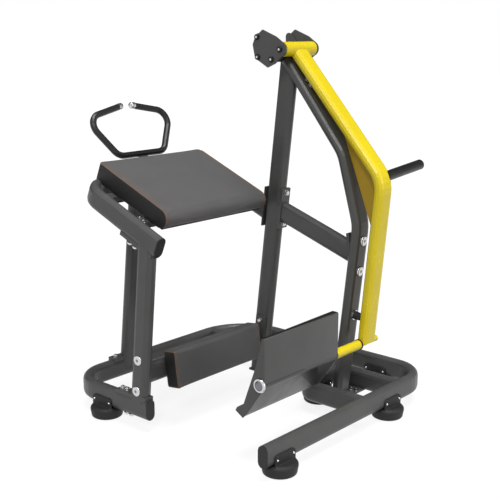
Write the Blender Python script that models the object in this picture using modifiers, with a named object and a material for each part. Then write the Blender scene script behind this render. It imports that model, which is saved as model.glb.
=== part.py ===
# Glute kickback machine: a plate-loaded lever machine with a chest pad, a knee pad and a swinging foot plate.
# Metres, +Z up. +Y is the way the user faces, and the user stands at -Y with one foot on the foot plate.
# The layout is measured from the left leg's centre line (x = 0) and the front leg's centre line (y = 0),
# and the datum empty moves it so that the origin lies on the floor under the middle of the machine.
import math

import bmesh
import bpy
from mathutils import Euler, Matrix, Vector

# Fit between touching pieces
GAP = 0.0003

# Flat-oval frame tube
TUBE_TALL = 0.100
TUBE_WIDE = 0.050
TUBE_ARC_STEPS = 6
BEND_STEP = math.radians(10)

# Base loop, measured between centre lines; the mid upright and the lever arm stand in the plane x = FRAME_X
BASE_SPAN_X = 1.205
BASE_SPAN_Y = 1.245
FRAME_TO_RIGHT = 0.380
FRAME_X = BASE_SPAN_X - FRAME_TO_RIGHT
BASE_CENTRE_Z = 0.106
FRONT_LEG_OVERHANG = 0.031
FRONT_POST_FOOT_Y = 0.765
LEFT_LEG_AHEAD = 0.060
LEFT_LEG_START_Y = FRONT_POST_FOOT_Y - LEFT_LEG_AHEAD
BEND_RIGHT_R = 0.160
BEND_FAR_R = 0.270
BEND_LEFT_R = 0.165
MAIN_RAIL_X = FRAME_X + 0.145
MAIN_RAIL_SHORT = 0.006
CROSS_TUBE_X = FRAME_X - 0.150
CROSS_TUBE_Y = 0.365
CROSS_BEND_R = 0.070

# Plastic plug in an open tube end
PLUG_LIP = 0.005
PLUG_DEPTH = 0.030
PLUG_INSET = 0.004

# Rubber feet
FOOT_R = 0.078
FOOT_TOP_R = 0.068
FOOT_DISC = 0.050
FOOT_TONGUE_W = 0.130
FOOT_TONGUE_T = 0.007
FOOT_TONGUE_TOP = 0.103
FOOT_SEGMENTS = 24
FRONT_FOOT_LEFT_X = 0.075
FRONT_FOOT_TO_RIGHT = 0.333
FRONT_FOOT_RIGHT_X = BASE_SPAN_X - FRONT_FOOT_TO_RIGHT
LEFT_FOOT_TO_BACK = 0.240
LEFT_FOOT_Y = BASE_SPAN_Y - LEFT_FOOT_TO_BACK
RIGHT_FOOT_Y = 0.280
BACK_FOOT_TO_RIGHT = 0.345
BACK_FOOT_X = BASE_SPAN_X - BACK_FOOT_TO_RIGHT
CROSS_FOOT_X = CROSS_TUBE_X + 0.140
RIVET_R = 0.005
RIVET_H = 0.0025
RIVET_EDGE = 0.0135
RIVET_DROP = 0.022

# Front post, on the left leg
FRONT_POST_SLOPE = -0.1005
FLANGE_T = 0.010
FRONT_FLANGE_NEAR = 0.056
FRONT_FLANGE_FAR = 0.145
FRONT_FLANGE_W = 0.050
FRONT_FLANGE_BOLTS = (0.089, 0.121)
FRONT_STRIP_W = 0.044
FRONT_STRIP_S0 = 0.012
FRONT_STRIP_S1 = 0.225
FRONT_STRIP_BOLTS_S = (0.162, 0.196)

# Rear post, on the back beam
REAR_POST_X = 0.345
REAR_POST_SLOPE = -0.115
REAR_POST_AHEAD = 0.012
REAR_POST_FOOT_Y = BASE_SPAN_Y - REAR_POST_AHEAD
REAR_POST_DROP = 0.030
REAR_FLANGE_OVERHANG = 0.056
REAR_FLANGE_BOLT_INSET = 0.026

# Pad frame, a U-shaped tube that climbs away from the user
PAD_TILT = math.radians(22.5)
PAD_FRAME_AHEAD = 0.145
PAD_FRAME_END_Y = FRONT_POST_FOOT_Y - PAD_FRAME_AHEAD
PAD_FRAME_END_Z = 0.874
PAD_FRAME_RUN = 0.520
PAD_BEND_R = 0.090
PAD_CROSS_NEAR_S = 0.170
PAD_CROSS_FAR_S = 0.395
PAD_CROSS_T = 0.034
PAD_CROSS_W = 0.040
PAD_BOARD_N = 0.036

# Chest pad
CHEST_GAP_LEFT = 0.035
CHEST_GAP_RIGHT = 0.075
CHEST_X0 = TUBE_WIDE / 2 + CHEST_GAP_LEFT
CHEST_X1 = FRAME_X - TUBE_WIDE / 2 - CHEST_GAP_RIGHT
CHEST_X = (CHEST_X0 + CHEST_X1) / 2
CHEST_WIDTH = CHEST_X1 - CHEST_X0
CHEST_LENGTH = 0.495
CHEST_PAST_RAIL = 0.035
CHEST_THICK = 0.065
CHEST_START_S = PAD_FRAME_RUN + CHEST_PAST_RAIL - CHEST_LENGTH
CHEST_CROWN = 0.008
CHEST_BOARD_T = 0.014
CHEST_BOARD_INSET = 0.006
CHEST_BOARD_NOSE = 0.012
CHEST_BOARD_CLEAR = 0.006
CHEST_EDGE_R = 0.014
DRAW_IN = 0.002
BOARD_EDGE = 0.003

# Knee pad and its beam between the front post and the mid upright
KNEE_BEAM_SET = 0.002
KNEE_BEAM_Z = 0.265
KNEE_FLANGE_T = 0.008
KNEE_FLANGE_TALL = 0.205
KNEE_FLANGE_W = 0.060
KNEE_BOLT_PITCH = 0.151
KNEE_GAP_LEFT = 0.090
KNEE_GAP_RIGHT = 0.115
KNEE_PAD_X0 = TUBE_WIDE / 2 + KNEE_GAP_LEFT
KNEE_PAD_X1 = FRAME_X - TUBE_WIDE / 2 - KNEE_GAP_RIGHT
KNEE_PAD_X = (KNEE_PAD_X0 + KNEE_PAD_X1) / 2
KNEE_PAD_WIDTH = KNEE_PAD_X1 - KNEE_PAD_X0
KNEE_PAD_TALL = 0.165
KNEE_PAD_THICK = 0.056
KNEE_PAD_TILT = math.radians(8)
KNEE_BOARD_T = 0.014
KNEE_BOARD_INSET = 0.015
KNEE_EDGE_R = 0.012
KNEE_CROWN = 0.006
KNEE_PAD_RISE = 0.007

# Pivot head, its outlines given from the pivot's axis as (y, z)
PIVOT_Y = 0.535
PIVOT_Z = 1.700
PIVOT_PLATE_T = 0.010
PIVOT_PLATE_SPAN = 0.230
PIVOT_LOBE_R = 0.034
PIVOT_LOBE_FROM = math.radians(115)
PIVOT_LOBE_TO = math.radians(250)
PIVOT_PLATE_EDGE = [
    (0.033, -0.066), (0.074, -0.084), (0.151, -0.042), (0.166, 0.020),
    (0.151, 0.055), (0.132, 0.068), (0.108, 0.088), (0.026, 0.057),
]
PIVOT_PLATE_BOLTS = [(0.138, 0.055), (0.134, -0.037), (0.050, -0.046)]
HEAD_TUBE_R = 0.038
HEAD_TUBE_OFFSET = (0.077, -0.023)
HEAD_FLANGE_T = 0.008
HEAD_FLANGE_R = 0.018
PIVOT_SHAFT_R = 0.0125
PIVOT_TUBE_R = 0.034
PIVOT_TUBE_GAP = 0.004
BEARING_T = 0.014
BEARING_R = 0.026

# Mid upright, wide side facing -X
UPRIGHT_TOP_Z = PIVOT_Z - 0.045
UPRIGHT_SLOPE = -0.1179
UPRIGHT_BEHIND_PIVOT = 0.0331
FOOT_PLATE_T = 0.010
UPRIGHT_PLATE_NEAR = 0.080
UPRIGHT_PLATE_FAR = 0.050
UPRIGHT_PLATE_LEFT = 0.026
FLOOR_CUT = 0.300
PLATE_SHORT = 0.010

# Bent rear tube, centre line in the plane x = FRAME_X
REAR_TUBE_TOP = (PIVOT_Y + 0.040, PIVOT_Z - 0.050)
REAR_TUBE_BEND_1 = (0.241, 1.237)
REAR_TUBE_BEND_2 = (0.148, 0.912)
REAR_TUBE_FOOT_Y = 0.243
REAR_TUBE_BEND_R = 0.180
REAR_PLATE_NEAR = 0.053
REAR_PLATE_FAR = 0.077
REAR_PLATE_BOLT_X = FRAME_X + 0.080
REAR_PLATE_BOLTS_Y = (REAR_TUBE_FOOT_Y - 0.038, REAR_TUBE_FOOT_Y - 0.008)
REAR_CAP_BOLTS_Z = (0.843, 0.696)
REAR_UPPER_BOLTS_Z = (1.545, 1.520)

# Inclined beam between the mid upright and the bent rear tube
BEAM_UPRIGHT_Z = 0.935
BEAM_REAR_Z = 0.768
BEAM_FLANGE_T = 0.008
BEAM_FLANGE_TALL = 0.200
BEAM_FLANGE_W = 0.060
BEAM_BOLT_PITCH = 0.155

# Lever arm, centre line in the plane x = FRAME_X
ARM_CORNER = (0.027, 1.133)
ARM_BEND_R = 0.140
GUSSET_T = 0.008
GUSSET_TOP = (ARM_CORNER[0] + 0.240, ARM_CORNER[1] + 0.233)
GUSSET_LOW = (ARM_CORNER[0] + 0.043, ARM_CORNER[1] - 0.267)
HORN_Y = ARM_CORNER[0] + 0.011
HORN_Z = ARM_CORNER[1] + 0.014
HORN_R = 0.024
HORN_LENGTH = 0.272
HORN_TILT = math.radians(5)
HORN_SINK = 0.020
HORN_DOME = 0.010

# Cross bar under the arm, the foot plate's shaft
SHAFT_Y = 0.100
SHAFT_Z = 0.360
BAR_R = 0.015
BAR_RIGHT_X = FRAME_X + 0.078
SLEEVE_R = 0.0225
SLEEVE_X1 = FRAME_X - TUBE_TALL / 2 - 0.015
END_PLAY = 0.0005
RING_T = 0.006
RING_R = 0.026
DOME_R = 0.025
DOME_H = 0.012
DOME_PROFILE = [(0.0, 1.0), (0.50, 0.90), (0.85, 0.60), (1.0, 0.20)]

# Foot plate, profile given from the shaft's axis
FOOT_PLATE_WIDTH = 0.509
FOOT_X1 = FRAME_X - 0.250
FOOT_X0 = FOOT_X1 - FOOT_PLATE_WIDTH
FOOT_SHEET = 0.005
HUB_R = 0.021
HUB_WALL = 0.0035
BUSH_LENGTH = 0.030
BUSH_FLANGE_T = 0.002
BUSH_FLANGE_R = 0.023
PANEL_TOP = 0.203
PANEL_HEM = 0.012
PANEL_START = 0.006
LIP_START = (-0.0175, -0.0115)
LIP_CORNER = (0.071, -0.138)
LIP_TOE = (0.099, -0.168)
LIP_TOE_END = (0.140, -0.144)
SIDE_PROFILE = [
    (-0.021, PANEL_TOP), (-0.021, -0.010), (0.068, -0.139), (0.098, -0.171), (0.140, -0.146),
    (0.130, -0.129), (0.093, -0.105), (0.026, 0.074), (-0.009, PANEL_TOP),
]

# Handles over the far edge of the chest pad
HANDLE_R = 0.016
HANDLE_SHIFT = 0.022
HANDLE_BEYOND = 0.113
HANDLE_RISE = 0.086
HANDLE_TILT = math.radians(64)
HANDLE_HALF_BASE = 0.148
HANDLE_HALF_SPAN = 0.275
HANDLE_SIDE_V = 0.200
HANDLE_TOP_V = 0.250
HANDLE_HALF_GAP = 0.042
HANDLE_BEND_R = 0.060
HANDLE_CAP_R = 0.018
HANDLE_CAP_T = 0.012
BRACKET_W = 0.050
BRACKET_T = 0.012

# Fasteners
BOLT_HEAD_R = 0.0130
BOLT_HEAD_H = 0.0080
BOLT_SHANK_R = 0.0060
BOLT_SHANK = 0.012
PIVOT_BOLT_SHANK = 0.030
BOLT_SEGMENTS = 12
CROWN_SHARE = 0.70
RIM_SHARE = 0.45
HEAD_SINK = 0.001
BUMPER_R = 0.020
BUMPER_TIP_R = 0.016
BUMPER_BASE_R = 0.024
BUMPER_BASE_T = 0.006
BUMPER_Z = 0.480
BUMPER_CLEAR = 0.001

SIDE_PLANE = Euler((math.pi / 2, 0.0, math.pi / 2))
FLOOR_PLANE = Euler((0.0, 0.0, 0.0))
PAD_PLANE = Euler((PAD_TILT, 0.0, 0.0))

for old in list(bpy.data.objects):
    bpy.data.objects.remove(old)

machine = bpy.data.collections.new("glute_kickback_machine")
cutters = bpy.data.collections.new("cutters")
cutters.hide_render = True
bpy.context.scene.collection.children.link(machine)
bpy.context.scene.collection.children.link(cutters)


# Materials

def finish(name, colour, roughness, metallic=0.0):
    made = bpy.data.materials.new(name)
    made.use_nodes = True
    shader = made.node_tree.nodes["Principled BSDF"]
    shader.inputs["Base Color"].default_value = (*colour, 1.0)
    shader.inputs["Roughness"].default_value = roughness
    shader.inputs["Metallic"].default_value = metallic
    made.diffuse_color = (*colour, 1.0)
    return made


GREY = ((0.095, 0.095, 0.098), 0.45, 0.2)
YELLOW = ((0.80, 0.66, 0.02), 0.40, 0.0)
GOLD = ((0.55, 0.42, 0.10), 0.40, 0.3)
BLACK = ((0.015, 0.015, 0.016), 0.55, 0.0)
RUBBER = ((0.020, 0.020, 0.021), 0.85, 0.0)
LEATHER = ((0.115, 0.115, 0.118), 0.60, 0.0)
BOARD = ((0.020, 0.020, 0.020), 0.80, 0.0)
CHROME = ((0.75, 0.75, 0.77), 0.15, 1.0)
STEEL = ((0.45, 0.45, 0.46), 0.30, 1.0)
BRONZE = ((0.45, 0.30, 0.12), 0.40, 1.0)


# Helpers

def empty(name, place, parent=None):
    holder = bpy.data.objects.new(name, None)
    holder.empty_display_size = 0.05
    holder.location = place
    holder.parent = parent
    machine.objects.link(holder)
    return holder


X_MIN = min(-FOOT_R, -FRONT_LEG_OVERHANG - PLUG_LIP)
X_MAX = BASE_SPAN_X + FOOT_R
Y_MIN = -FOOT_R
Y_MAX = BASE_SPAN_Y + FOOT_R
datum = empty("machine_datum", (-(X_MIN + X_MAX) / 2, -(Y_MIN + Y_MAX) / 2, 0.0))
arm_pivot = empty("lever_arm_pivot", (FRAME_X, PIVOT_Y, PIVOT_Z), datum)
foot_pivot = empty("foot_plate_pivot", (0.0, SHAFT_Y - PIVOT_Y, SHAFT_Z - PIVOT_Z), arm_pivot)
LAYOUT_OF = {datum: Vector((0, 0, 0)), arm_pivot: Vector((FRAME_X, PIVOT_Y, PIVOT_Z))}
LAYOUT_OF[foot_pivot] = Vector((FRAME_X, SHAFT_Y, SHAFT_Z))


def place_object(obj, place, turn, parent):
    """Places an object by layout coordinates, whatever empty carries it."""
    obj.location = Vector(place) - LAYOUT_OF[parent]
    obj.rotation_euler = turn
    obj.parent = parent
    return obj


def shade(mesh):
    mesh.shade_smooth()
    mesh.set_sharp_from_angle(angle=math.radians(35))


def keep(name, mesh, look, place=(0, 0, 0), turn=FLOOR_PLANE, parent=datum):
    shade(mesh)
    mesh.materials.clear()
    mesh.materials.append(finish(name, *look))
    obj = bpy.data.objects.new(name, mesh)
    machine.objects.link(obj)
    return place_object(obj, place, turn, parent)


def cutter(name, mesh, place=(0, 0, 0), turn=FLOOR_PLANE, parent=datum):
    obj = bpy.data.objects.new(name, mesh)
    obj.hide_render = True
    obj.display_type = "WIRE"
    cutters.objects.link(obj)
    return place_object(obj, place, turn, parent)


def welded(mesh):
    """Closes a curve's loose caps and turns every face outward."""
    work = bmesh.new()
    work.from_mesh(mesh)
    bmesh.ops.remove_doubles(work, verts=work.verts, dist=1e-5)
    bmesh.ops.recalc_face_normals(work, faces=work.faces)
    work.to_mesh(mesh)
    work.free()
    return mesh


def mesh_of(curve):
    """The mesh of a curve datablock, in the curve's own frame."""
    guide = bpy.data.objects.new("guide", curve)
    bpy.context.scene.collection.objects.link(guide)
    bpy.context.view_layer.update()
    graph = bpy.context.evaluated_depsgraph_get()
    mesh = bpy.data.meshes.new_from_object(guide.evaluated_get(graph))
    bpy.data.objects.remove(guide)
    return welded(mesh)


def arc(centre, radius, start, end, steps):
    angles = [start + (end - start) * step / steps for step in range(steps + 1)]
    return [(centre[0] + radius * math.cos(a), centre[1] + radius * math.sin(a)) for a in angles]


def stadium(inset=0.0, flat=False):
    """Outline of the flat-oval section: tall along y, or along x where flat is set."""
    radius = TUBE_WIDE / 2
    reach = TUBE_TALL / 2 - radius
    top = arc((0, reach), radius - inset, 0, math.pi, TUBE_ARC_STEPS)
    points = top + arc((0, -reach), radius - inset, math.pi, 2 * math.pi, TUBE_ARC_STEPS)
    return [(y, x) for x, y in points] if flat else points


def poly(curve, points, cyclic):
    spline = curve.splines.new("POLY")
    spline.points.add(len(points) - 1)
    for spot, point in zip(spline.points, points):
        spot.co = (point[0], point[1], point[2] if len(point) > 2 else 0.0, 1.0)
    spline.use_cyclic_u = cyclic


def section(inset, flat):
    """A flat-oval profile that a tube is swept with."""
    curve = bpy.data.curves.new("section", "CURVE")
    curve.dimensions = "2D"
    curve.fill_mode = "NONE"
    poly(curve, stadium(inset, flat), True)
    obj = bpy.data.objects.new("section", curve)
    obj.hide_render = True
    obj.display_type = "WIRE"
    cutters.objects.link(obj)
    return obj


def bent(corners, radius):
    """Points along straight runs joined by arcs; radius is one value or one for each inner corner."""
    radii = radius if isinstance(radius, (list, tuple)) else [radius] * (len(corners) - 2)
    points = [Vector(corners[0])]
    for before, corner, after, bend in zip(corners, corners[1:], corners[2:], radii):
        corner = Vector(corner)
        back = (Vector(before) - corner).normalized()
        on = (Vector(after) - corner).normalized()
        turn = math.pi - back.angle(on)
        setback = bend * math.tan(turn / 2)
        centre = corner + (back + on).normalized() * bend / math.cos(turn / 2)
        start = corner + back * setback - centre
        end = corner + on * setback - centre
        steps = max(2, math.ceil(turn / BEND_STEP))
        for step in range(steps + 1):
            share = step / steps
            spoke = start * math.sin((1 - share) * turn) + end * math.sin(share * turn)
            points.append(centre + spoke / math.sin(turn))
    points.append(Vector(corners[-1]))
    return points


def oval_sweep(corners, radius=0.0, flat=False, grow=0.0):
    """Mesh of a flat-oval tube; its tall side stands square to the path's plane, or in it where flat is set."""
    curve = bpy.data.curves.new("sweep", "CURVE")
    curve.dimensions = "2D"
    curve.fill_mode = "NONE"
    curve.bevel_mode = "OBJECT"
    curve.bevel_object = section(-grow, flat)
    curve.use_fill_caps = True
    poly(curve, bent([(*c[:2], 0.0) for c in corners], radius), False)
    return mesh_of(curve)


def round_sweep(corners, bend, radius, sides=6):
    """Mesh of a round tube along a path of straight runs and arcs."""
    curve = bpy.data.curves.new("round", "CURVE")
    curve.dimensions = "3D"
    curve.bevel_depth = radius
    curve.bevel_resolution = sides // 2
    curve.use_fill_caps = True
    poly(curve, bent(corners, bend), False)
    return mesh_of(curve)


def prism(outline, thick):
    """Mesh of a flat outline with a thickness, centred on its plane."""
    curve = bpy.data.curves.new("outline", "CURVE")
    curve.dimensions = "2D"
    curve.fill_mode = "BOTH"
    curve.extrude = thick / 2
    poly(curve, outline, True)
    return mesh_of(curve)


def block(size):
    work = bmesh.new()
    bmesh.ops.create_cube(work, size=1.0)
    bmesh.ops.scale(work, vec=size, verts=work.verts)
    mesh = bpy.data.meshes.new("block")
    work.to_mesh(mesh)
    work.free()
    return mesh


def cylinder(radius, length, segments=24, top=None):
    work = bmesh.new()
    top_radius = radius if top is None else top
    bmesh.ops.create_cone(
        work, cap_ends=True, segments=segments, radius1=radius, radius2=top_radius, depth=length
    )
    mesh = bpy.data.meshes.new("cylinder")
    work.to_mesh(mesh)
    work.free()
    return mesh


def turned(profile, segments):
    """Solid of revolution about Z; the profile runs from the top of the axis down to its bottom."""
    work = bmesh.new()
    spots = [work.verts.new((radius, 0.0, height)) for radius, height in profile]
    edges = [work.edges.new(pair) for pair in zip(spots, spots[1:])]
    bmesh.ops.spin(
        work, geom=spots + edges, cent=(0, 0, 0), axis=(0, 0, 1), angle=2 * math.pi, steps=segments
    )
    bmesh.ops.remove_doubles(work, verts=work.verts, dist=1e-6)
    bmesh.ops.recalc_face_normals(work, faces=work.faces)
    mesh = bpy.data.meshes.new("turned")
    work.to_mesh(mesh)
    work.free()
    return mesh


def ring(outer, inner, length, segments=24):
    """A tube with a bore, centred on the origin along Z."""
    half = length / 2
    profile = [(outer, half), (outer, -half), (inner, -half), (inner, half), (outer, half)]
    return turned(profile, segments)


def boolean(target, tool, operation="DIFFERENCE"):
    cut = target.modifiers.new(operation.lower(), "BOOLEAN")
    cut.operation = operation
    cut.solver = "EXACT"
    cut.object = tool
    return target


def toward(direction):
    """The turn that brings +Z to the given direction."""
    return Vector(direction).to_track_quat("Z", "Y").to_matrix().to_4x4()


def group(mesh, places):
    """One mesh with a copy of a small solid at each (point, direction), as separate solids."""
    work = bmesh.new()
    for point, direction in places:
        copy = mesh.copy()
        copy.transform(Matrix.Translation(point) @ toward(direction))
        work.from_mesh(copy)
    made = bpy.data.meshes.new("group")
    work.to_mesh(made)
    work.free()
    return made


def bolt_mesh(shank):
    dome = (0.0, BOLT_HEAD_H), (BOLT_HEAD_R * CROWN_SHARE, BOLT_HEAD_H), (BOLT_HEAD_R, BOLT_HEAD_H * RIM_SHARE)
    rest = (BOLT_HEAD_R, 0.0), (BOLT_SHANK_R, 0.0), (BOLT_SHANK_R, -shank), (0.0, -shank)
    return turned([*dome, *rest], BOLT_SEGMENTS)


def bolt(name, place, direction, seats, shank=BOLT_SHANK):
    """A cap bolt of its own, in a blind hole through the pieces it holds."""
    raised = Vector(place) + Vector(direction).normalized() * GAP
    turn = toward(direction).to_euler()
    keep(name, bolt_mesh(shank), CHROME, raised, turn)
    hole = cylinder(BOLT_SHANK_R + GAP, 2 * (shank + 2 * GAP), BOLT_SEGMENTS)
    tool = cutter(name + "_hole", hole, place, turn)
    for seat in seats:
        boolean(seat, tool)


def bolt_heads(seat, places):
    """Heads of the bolts that are joined to the piece they clamp, sunk a little into it."""
    dome = (0.0, BOLT_HEAD_H), (BOLT_HEAD_R * CROWN_SHARE, BOLT_HEAD_H), (BOLT_HEAD_R, BOLT_HEAD_H * RIM_SHARE)
    head = turned([*dome, (BOLT_HEAD_R, -HEAD_SINK), (0.0, -HEAD_SINK)], BOLT_SEGMENTS)
    boolean(seat, cutter(seat.name + "_heads", group(head, places)), "UNION")


def open_end(tube, name, place, turn):
    """A pocket in a tube's open end and the plastic plug that closes it."""
    pocket = prism(stadium(PLUG_INSET), 2 * (PLUG_DEPTH + GAP))
    boolean(tube, cutter(name + "_pocket", pocket, place, turn))
    plug(name, place, turn)


def plug(name, place, turn):
    """The plug's local +Z points out of the tube."""
    lip = prism(stadium(), PLUG_LIP - GAP)
    lip.transform(Matrix.Translation((0, 0, (PLUG_LIP + GAP) / 2)))
    cap = keep(name, lip, BLACK, place, turn)
    body = prism(stadium(PLUG_INSET + GAP), PLUG_DEPTH)
    body.transform(Matrix.Translation((0, 0, PLUG_LIP / 2 - PLUG_DEPTH / 2)))
    boolean(cap, cutter(name + "_body", body, place, turn), "UNION")


# Base

LOOP = [
    (-FRONT_LEG_OVERHANG, 0.0),
    (BASE_SPAN_X, 0.0),
    (BASE_SPAN_X, BASE_SPAN_Y),
    (0.0, BASE_SPAN_Y),
    (0.0, LEFT_LEG_START_Y),
]
LOOP_BENDS = [BEND_RIGHT_R, BEND_FAR_R, BEND_LEFT_R]
FLOOR_SIDE = (0.0, 0.0, BASE_CENTRE_Z)
OUT_LEFT = Euler((math.pi / 2, 0.0, -math.pi / 2))
OUT_NEAR = Euler((math.pi / 2, 0.0, 0.0))


def build_base():
    loop = keep("base_loop_tube", oval_sweep(LOOP, LOOP_BENDS), GREY, FLOOR_SIDE)
    loop_tool = cutter("loop_tool", oval_sweep(LOOP, LOOP_BENDS, grow=GAP), FLOOR_SIDE)
    front_end = (-FRONT_LEG_OVERHANG, 0.0, BASE_CENTRE_Z)
    left_end = (0.0, LEFT_LEG_START_Y, BASE_CENTRE_Z)
    open_end(loop, "front_leg_cap", front_end, OUT_LEFT)
    open_end(loop, "left_leg_cap", left_end, OUT_NEAR)

    rail_path = [(MAIN_RAIL_X, 0.0), (MAIN_RAIL_X, BASE_SPAN_Y - MAIN_RAIL_SHORT)]
    rail = keep("base_main_rail", oval_sweep(rail_path), GREY, FLOOR_SIDE)
    boolean(rail, loop_tool)
    rail_tool = cutter("rail_tool", oval_sweep(rail_path, grow=GAP), FLOOR_SIDE)

    cross_path = [(CROSS_TUBE_X, 0.0), (CROSS_TUBE_X, CROSS_TUBE_Y), (MAIN_RAIL_X, CROSS_TUBE_Y)]
    cross = keep("base_cross_tube", oval_sweep(cross_path, CROSS_BEND_R), GREY, FLOOR_SIDE)
    boolean(cross, loop_tool)
    boolean(cross, rail_tool)
    grown = oval_sweep(cross_path, CROSS_BEND_R, grow=GAP)
    cross_tool = cutter("cross_tool", grown, FLOOR_SIDE)
    return loop_tool, rail_tool, cross_tool


def foot(name, x, y, along_x, tube_tool):
    """A round rubber shoe with two tongues that grip the tube's sides."""
    disc = cylinder(FOOT_R, FOOT_DISC, FOOT_SEGMENTS, FOOT_TOP_R)
    disc.transform(Matrix.Translation((0, 0, FOOT_DISC / 2)))
    turn = Euler((0.0, 0.0, 0.0 if along_x else math.pi / 2))
    shoe = keep(name, disc, RUBBER, (x, y, 0.0), turn)
    tongues = block((FOOT_TONGUE_W, TUBE_WIDE + 2 * FOOT_TONGUE_T, FOOT_TONGUE_TOP - FOOT_DISC / 2))
    tongues.transform(Matrix.Translation((0, 0, (FOOT_TONGUE_TOP + FOOT_DISC / 2) / 2)))
    boolean(shoe, cutter(name + "_tongues", tongues, (x, y, 0.0), turn), "UNION")
    boolean(shoe, tube_tool)
    side = TUBE_WIDE / 2 + FOOT_TONGUE_T
    reach = FOOT_TONGUE_W / 2 - RIVET_EDGE
    height = FOOT_TONGUE_TOP - RIVET_DROP
    crown = [(0.0, RIVET_H), (RIVET_R * CROWN_SHARE, RIVET_H)]
    rivet = turned([*crown, (RIVET_R, -HEAD_SINK), (0.0, -HEAD_SINK)], 8)
    spots = [((u, v * side, height), (0, v, 0)) for u in (-reach, reach) for v in (-1, 1)]
    boolean(shoe, cutter(name + "_rivets", group(rivet, spots), (x, y, 0.0), turn), "UNION")


def build_feet(loop_tool, cross_tool):
    foot("rubber_foot_front_left", FRONT_FOOT_LEFT_X, 0.0, True, loop_tool)
    foot("rubber_foot_front_right", FRONT_FOOT_RIGHT_X, 0.0, True, loop_tool)
    foot("rubber_foot_left_leg", 0.0, LEFT_FOOT_Y, False, loop_tool)
    foot("rubber_foot_right_rail", BASE_SPAN_X, RIGHT_FOOT_Y, False, loop_tool)
    foot("rubber_foot_back_beam", BACK_FOOT_X, BASE_SPAN_Y, True, loop_tool)
    foot("rubber_foot_cross_tube", CROSS_FOOT_X, CROSS_TUBE_Y, True, cross_tool)


# Posts

LEG_TOP = BASE_CENTRE_Z + TUBE_TALL / 2


def pad_height(y):
    """Height of the pad frame's centre line at a given y."""
    return PAD_FRAME_END_Z + (y - PAD_FRAME_END_Y) * math.tan(PAD_TILT)


def pad_point(x, s, n=0.0):
    """A point given along the pad frame (s) and square to it (n)."""
    return PAD_PLANE.to_matrix() @ Vector((x, s, n)) + Vector((0, PAD_FRAME_END_Y, PAD_FRAME_END_Z))


def build_front_post(loop_tool, pad_tool):
    foot = (FRONT_POST_FOOT_Y + FRONT_POST_SLOPE * (BASE_CENTRE_Z - LEG_TOP), BASE_CENTRE_Z)
    top_z = (pad_height(foot[0]) - foot[1] * FRONT_POST_SLOPE * math.tan(PAD_TILT)) / (
        1 - FRONT_POST_SLOPE * math.tan(PAD_TILT)
    )
    top = (foot[0] + FRONT_POST_SLOPE * (top_z - foot[1]), top_z)
    post = keep("front_post", oval_sweep([foot, top], flat=True), GREY, (0, 0, 0), SIDE_PLANE)
    shoe = block((FRONT_FLANGE_W, FRONT_FLANGE_NEAR + FRONT_FLANGE_FAR, 2 * FLANGE_T))
    shoe_y = FRONT_POST_FOOT_Y + (FRONT_FLANGE_FAR - FRONT_FLANGE_NEAR) / 2
    boolean(post, cutter("front_post_foot", shoe, (0, shoe_y, LEG_TOP)), "UNION")
    strip = block((FRONT_STRIP_W, FRONT_STRIP_S1 - FRONT_STRIP_S0, 2 * FLANGE_T))
    strip_at = pad_point(0.0, (FRONT_STRIP_S0 + FRONT_STRIP_S1) / 2, -TUBE_TALL / 2)
    boolean(post, cutter("front_post_strip", strip, strip_at, PAD_PLANE), "UNION")
    boolean(post, loop_tool)
    boolean(post, pad_tool)
    return post


def build_rear_post(loop_tool, pad_tool):
    foot = (REAR_POST_FOOT_Y + REAR_POST_SLOPE * (BASE_CENTRE_Z - LEG_TOP), BASE_CENTRE_Z)
    top_z = pad_height(PAD_BACK_Y) - REAR_POST_DROP
    top = (foot[0] + REAR_POST_SLOPE * (top_z - foot[1]), top_z)
    post = keep("rear_post", oval_sweep([foot, top]), GREY, (REAR_POST_X, 0, 0), SIDE_PLANE)
    shoe = block((TUBE_TALL + 2 * REAR_FLANGE_OVERHANG, FRONT_FLANGE_W, 2 * FLANGE_T))
    boolean(post, cutter("rear_post_foot", shoe, (REAR_POST_X, BASE_SPAN_Y, LEG_TOP)), "UNION")
    boolean(post, loop_tool)
    boolean(post, pad_tool)
    return post


# Pad frame, boards and cushions

PAD_ORIGIN = (0.0, PAD_FRAME_END_Y, PAD_FRAME_END_Z)
PAD_BACK_Y = PAD_FRAME_END_Y + PAD_FRAME_RUN * math.cos(PAD_TILT)
OUT_PAD_END = Euler((math.pi / 2 + PAD_TILT, 0.0, 0.0))


def upright_y(z):
    return PIVOT_Y + UPRIGHT_BEHIND_PIVOT + UPRIGHT_SLOPE * (z - PIVOT_Z)


PAD_ARM_END_S = (upright_y(BEAM_UPRIGHT_Z) - PAD_FRAME_END_Y) / math.cos(PAD_TILT)
PAD_PATH = [(0.0, 0.0), (0.0, PAD_FRAME_RUN), (FRAME_X, PAD_FRAME_RUN), (FRAME_X, PAD_ARM_END_S)]
UPRIGHT_HALF_Y = TUBE_TALL / 2 * math.hypot(1.0, UPRIGHT_SLOPE)
UPRIGHT_TURN = Euler((math.atan(-UPRIGHT_SLOPE), 0.0, 0.0))


def build_pad_frame(upright_tool):
    frame = keep("pad_frame_tube", oval_sweep(PAD_PATH, PAD_BEND_R), GREY, PAD_ORIGIN, PAD_PLANE)
    open_end(frame, "pad_frame_end_cap", PAD_ORIGIN, OUT_PAD_END)
    arm_z = BEAM_UPRIGHT_Z
    flange = block((BEAM_FLANGE_W, 2 * BEAM_FLANGE_T, BEAM_FLANGE_TALL))
    flange_at = (FRAME_X, upright_y(arm_z) + UPRIGHT_HALF_Y, arm_z)
    boolean(frame, cutter("pad_frame_flange", flange, flange_at, UPRIGHT_TURN), "UNION")
    beyond = block((2 * BEAM_FLANGE_W, TUBE_TALL + 2 * GAP, 2 * BEAM_FLANGE_TALL))
    boolean(frame, cutter("pad_frame_trim", beyond, (FRAME_X, upright_y(arm_z), arm_z), UPRIGHT_TURN))
    boolean(frame, upright_tool)
    return frame


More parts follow.
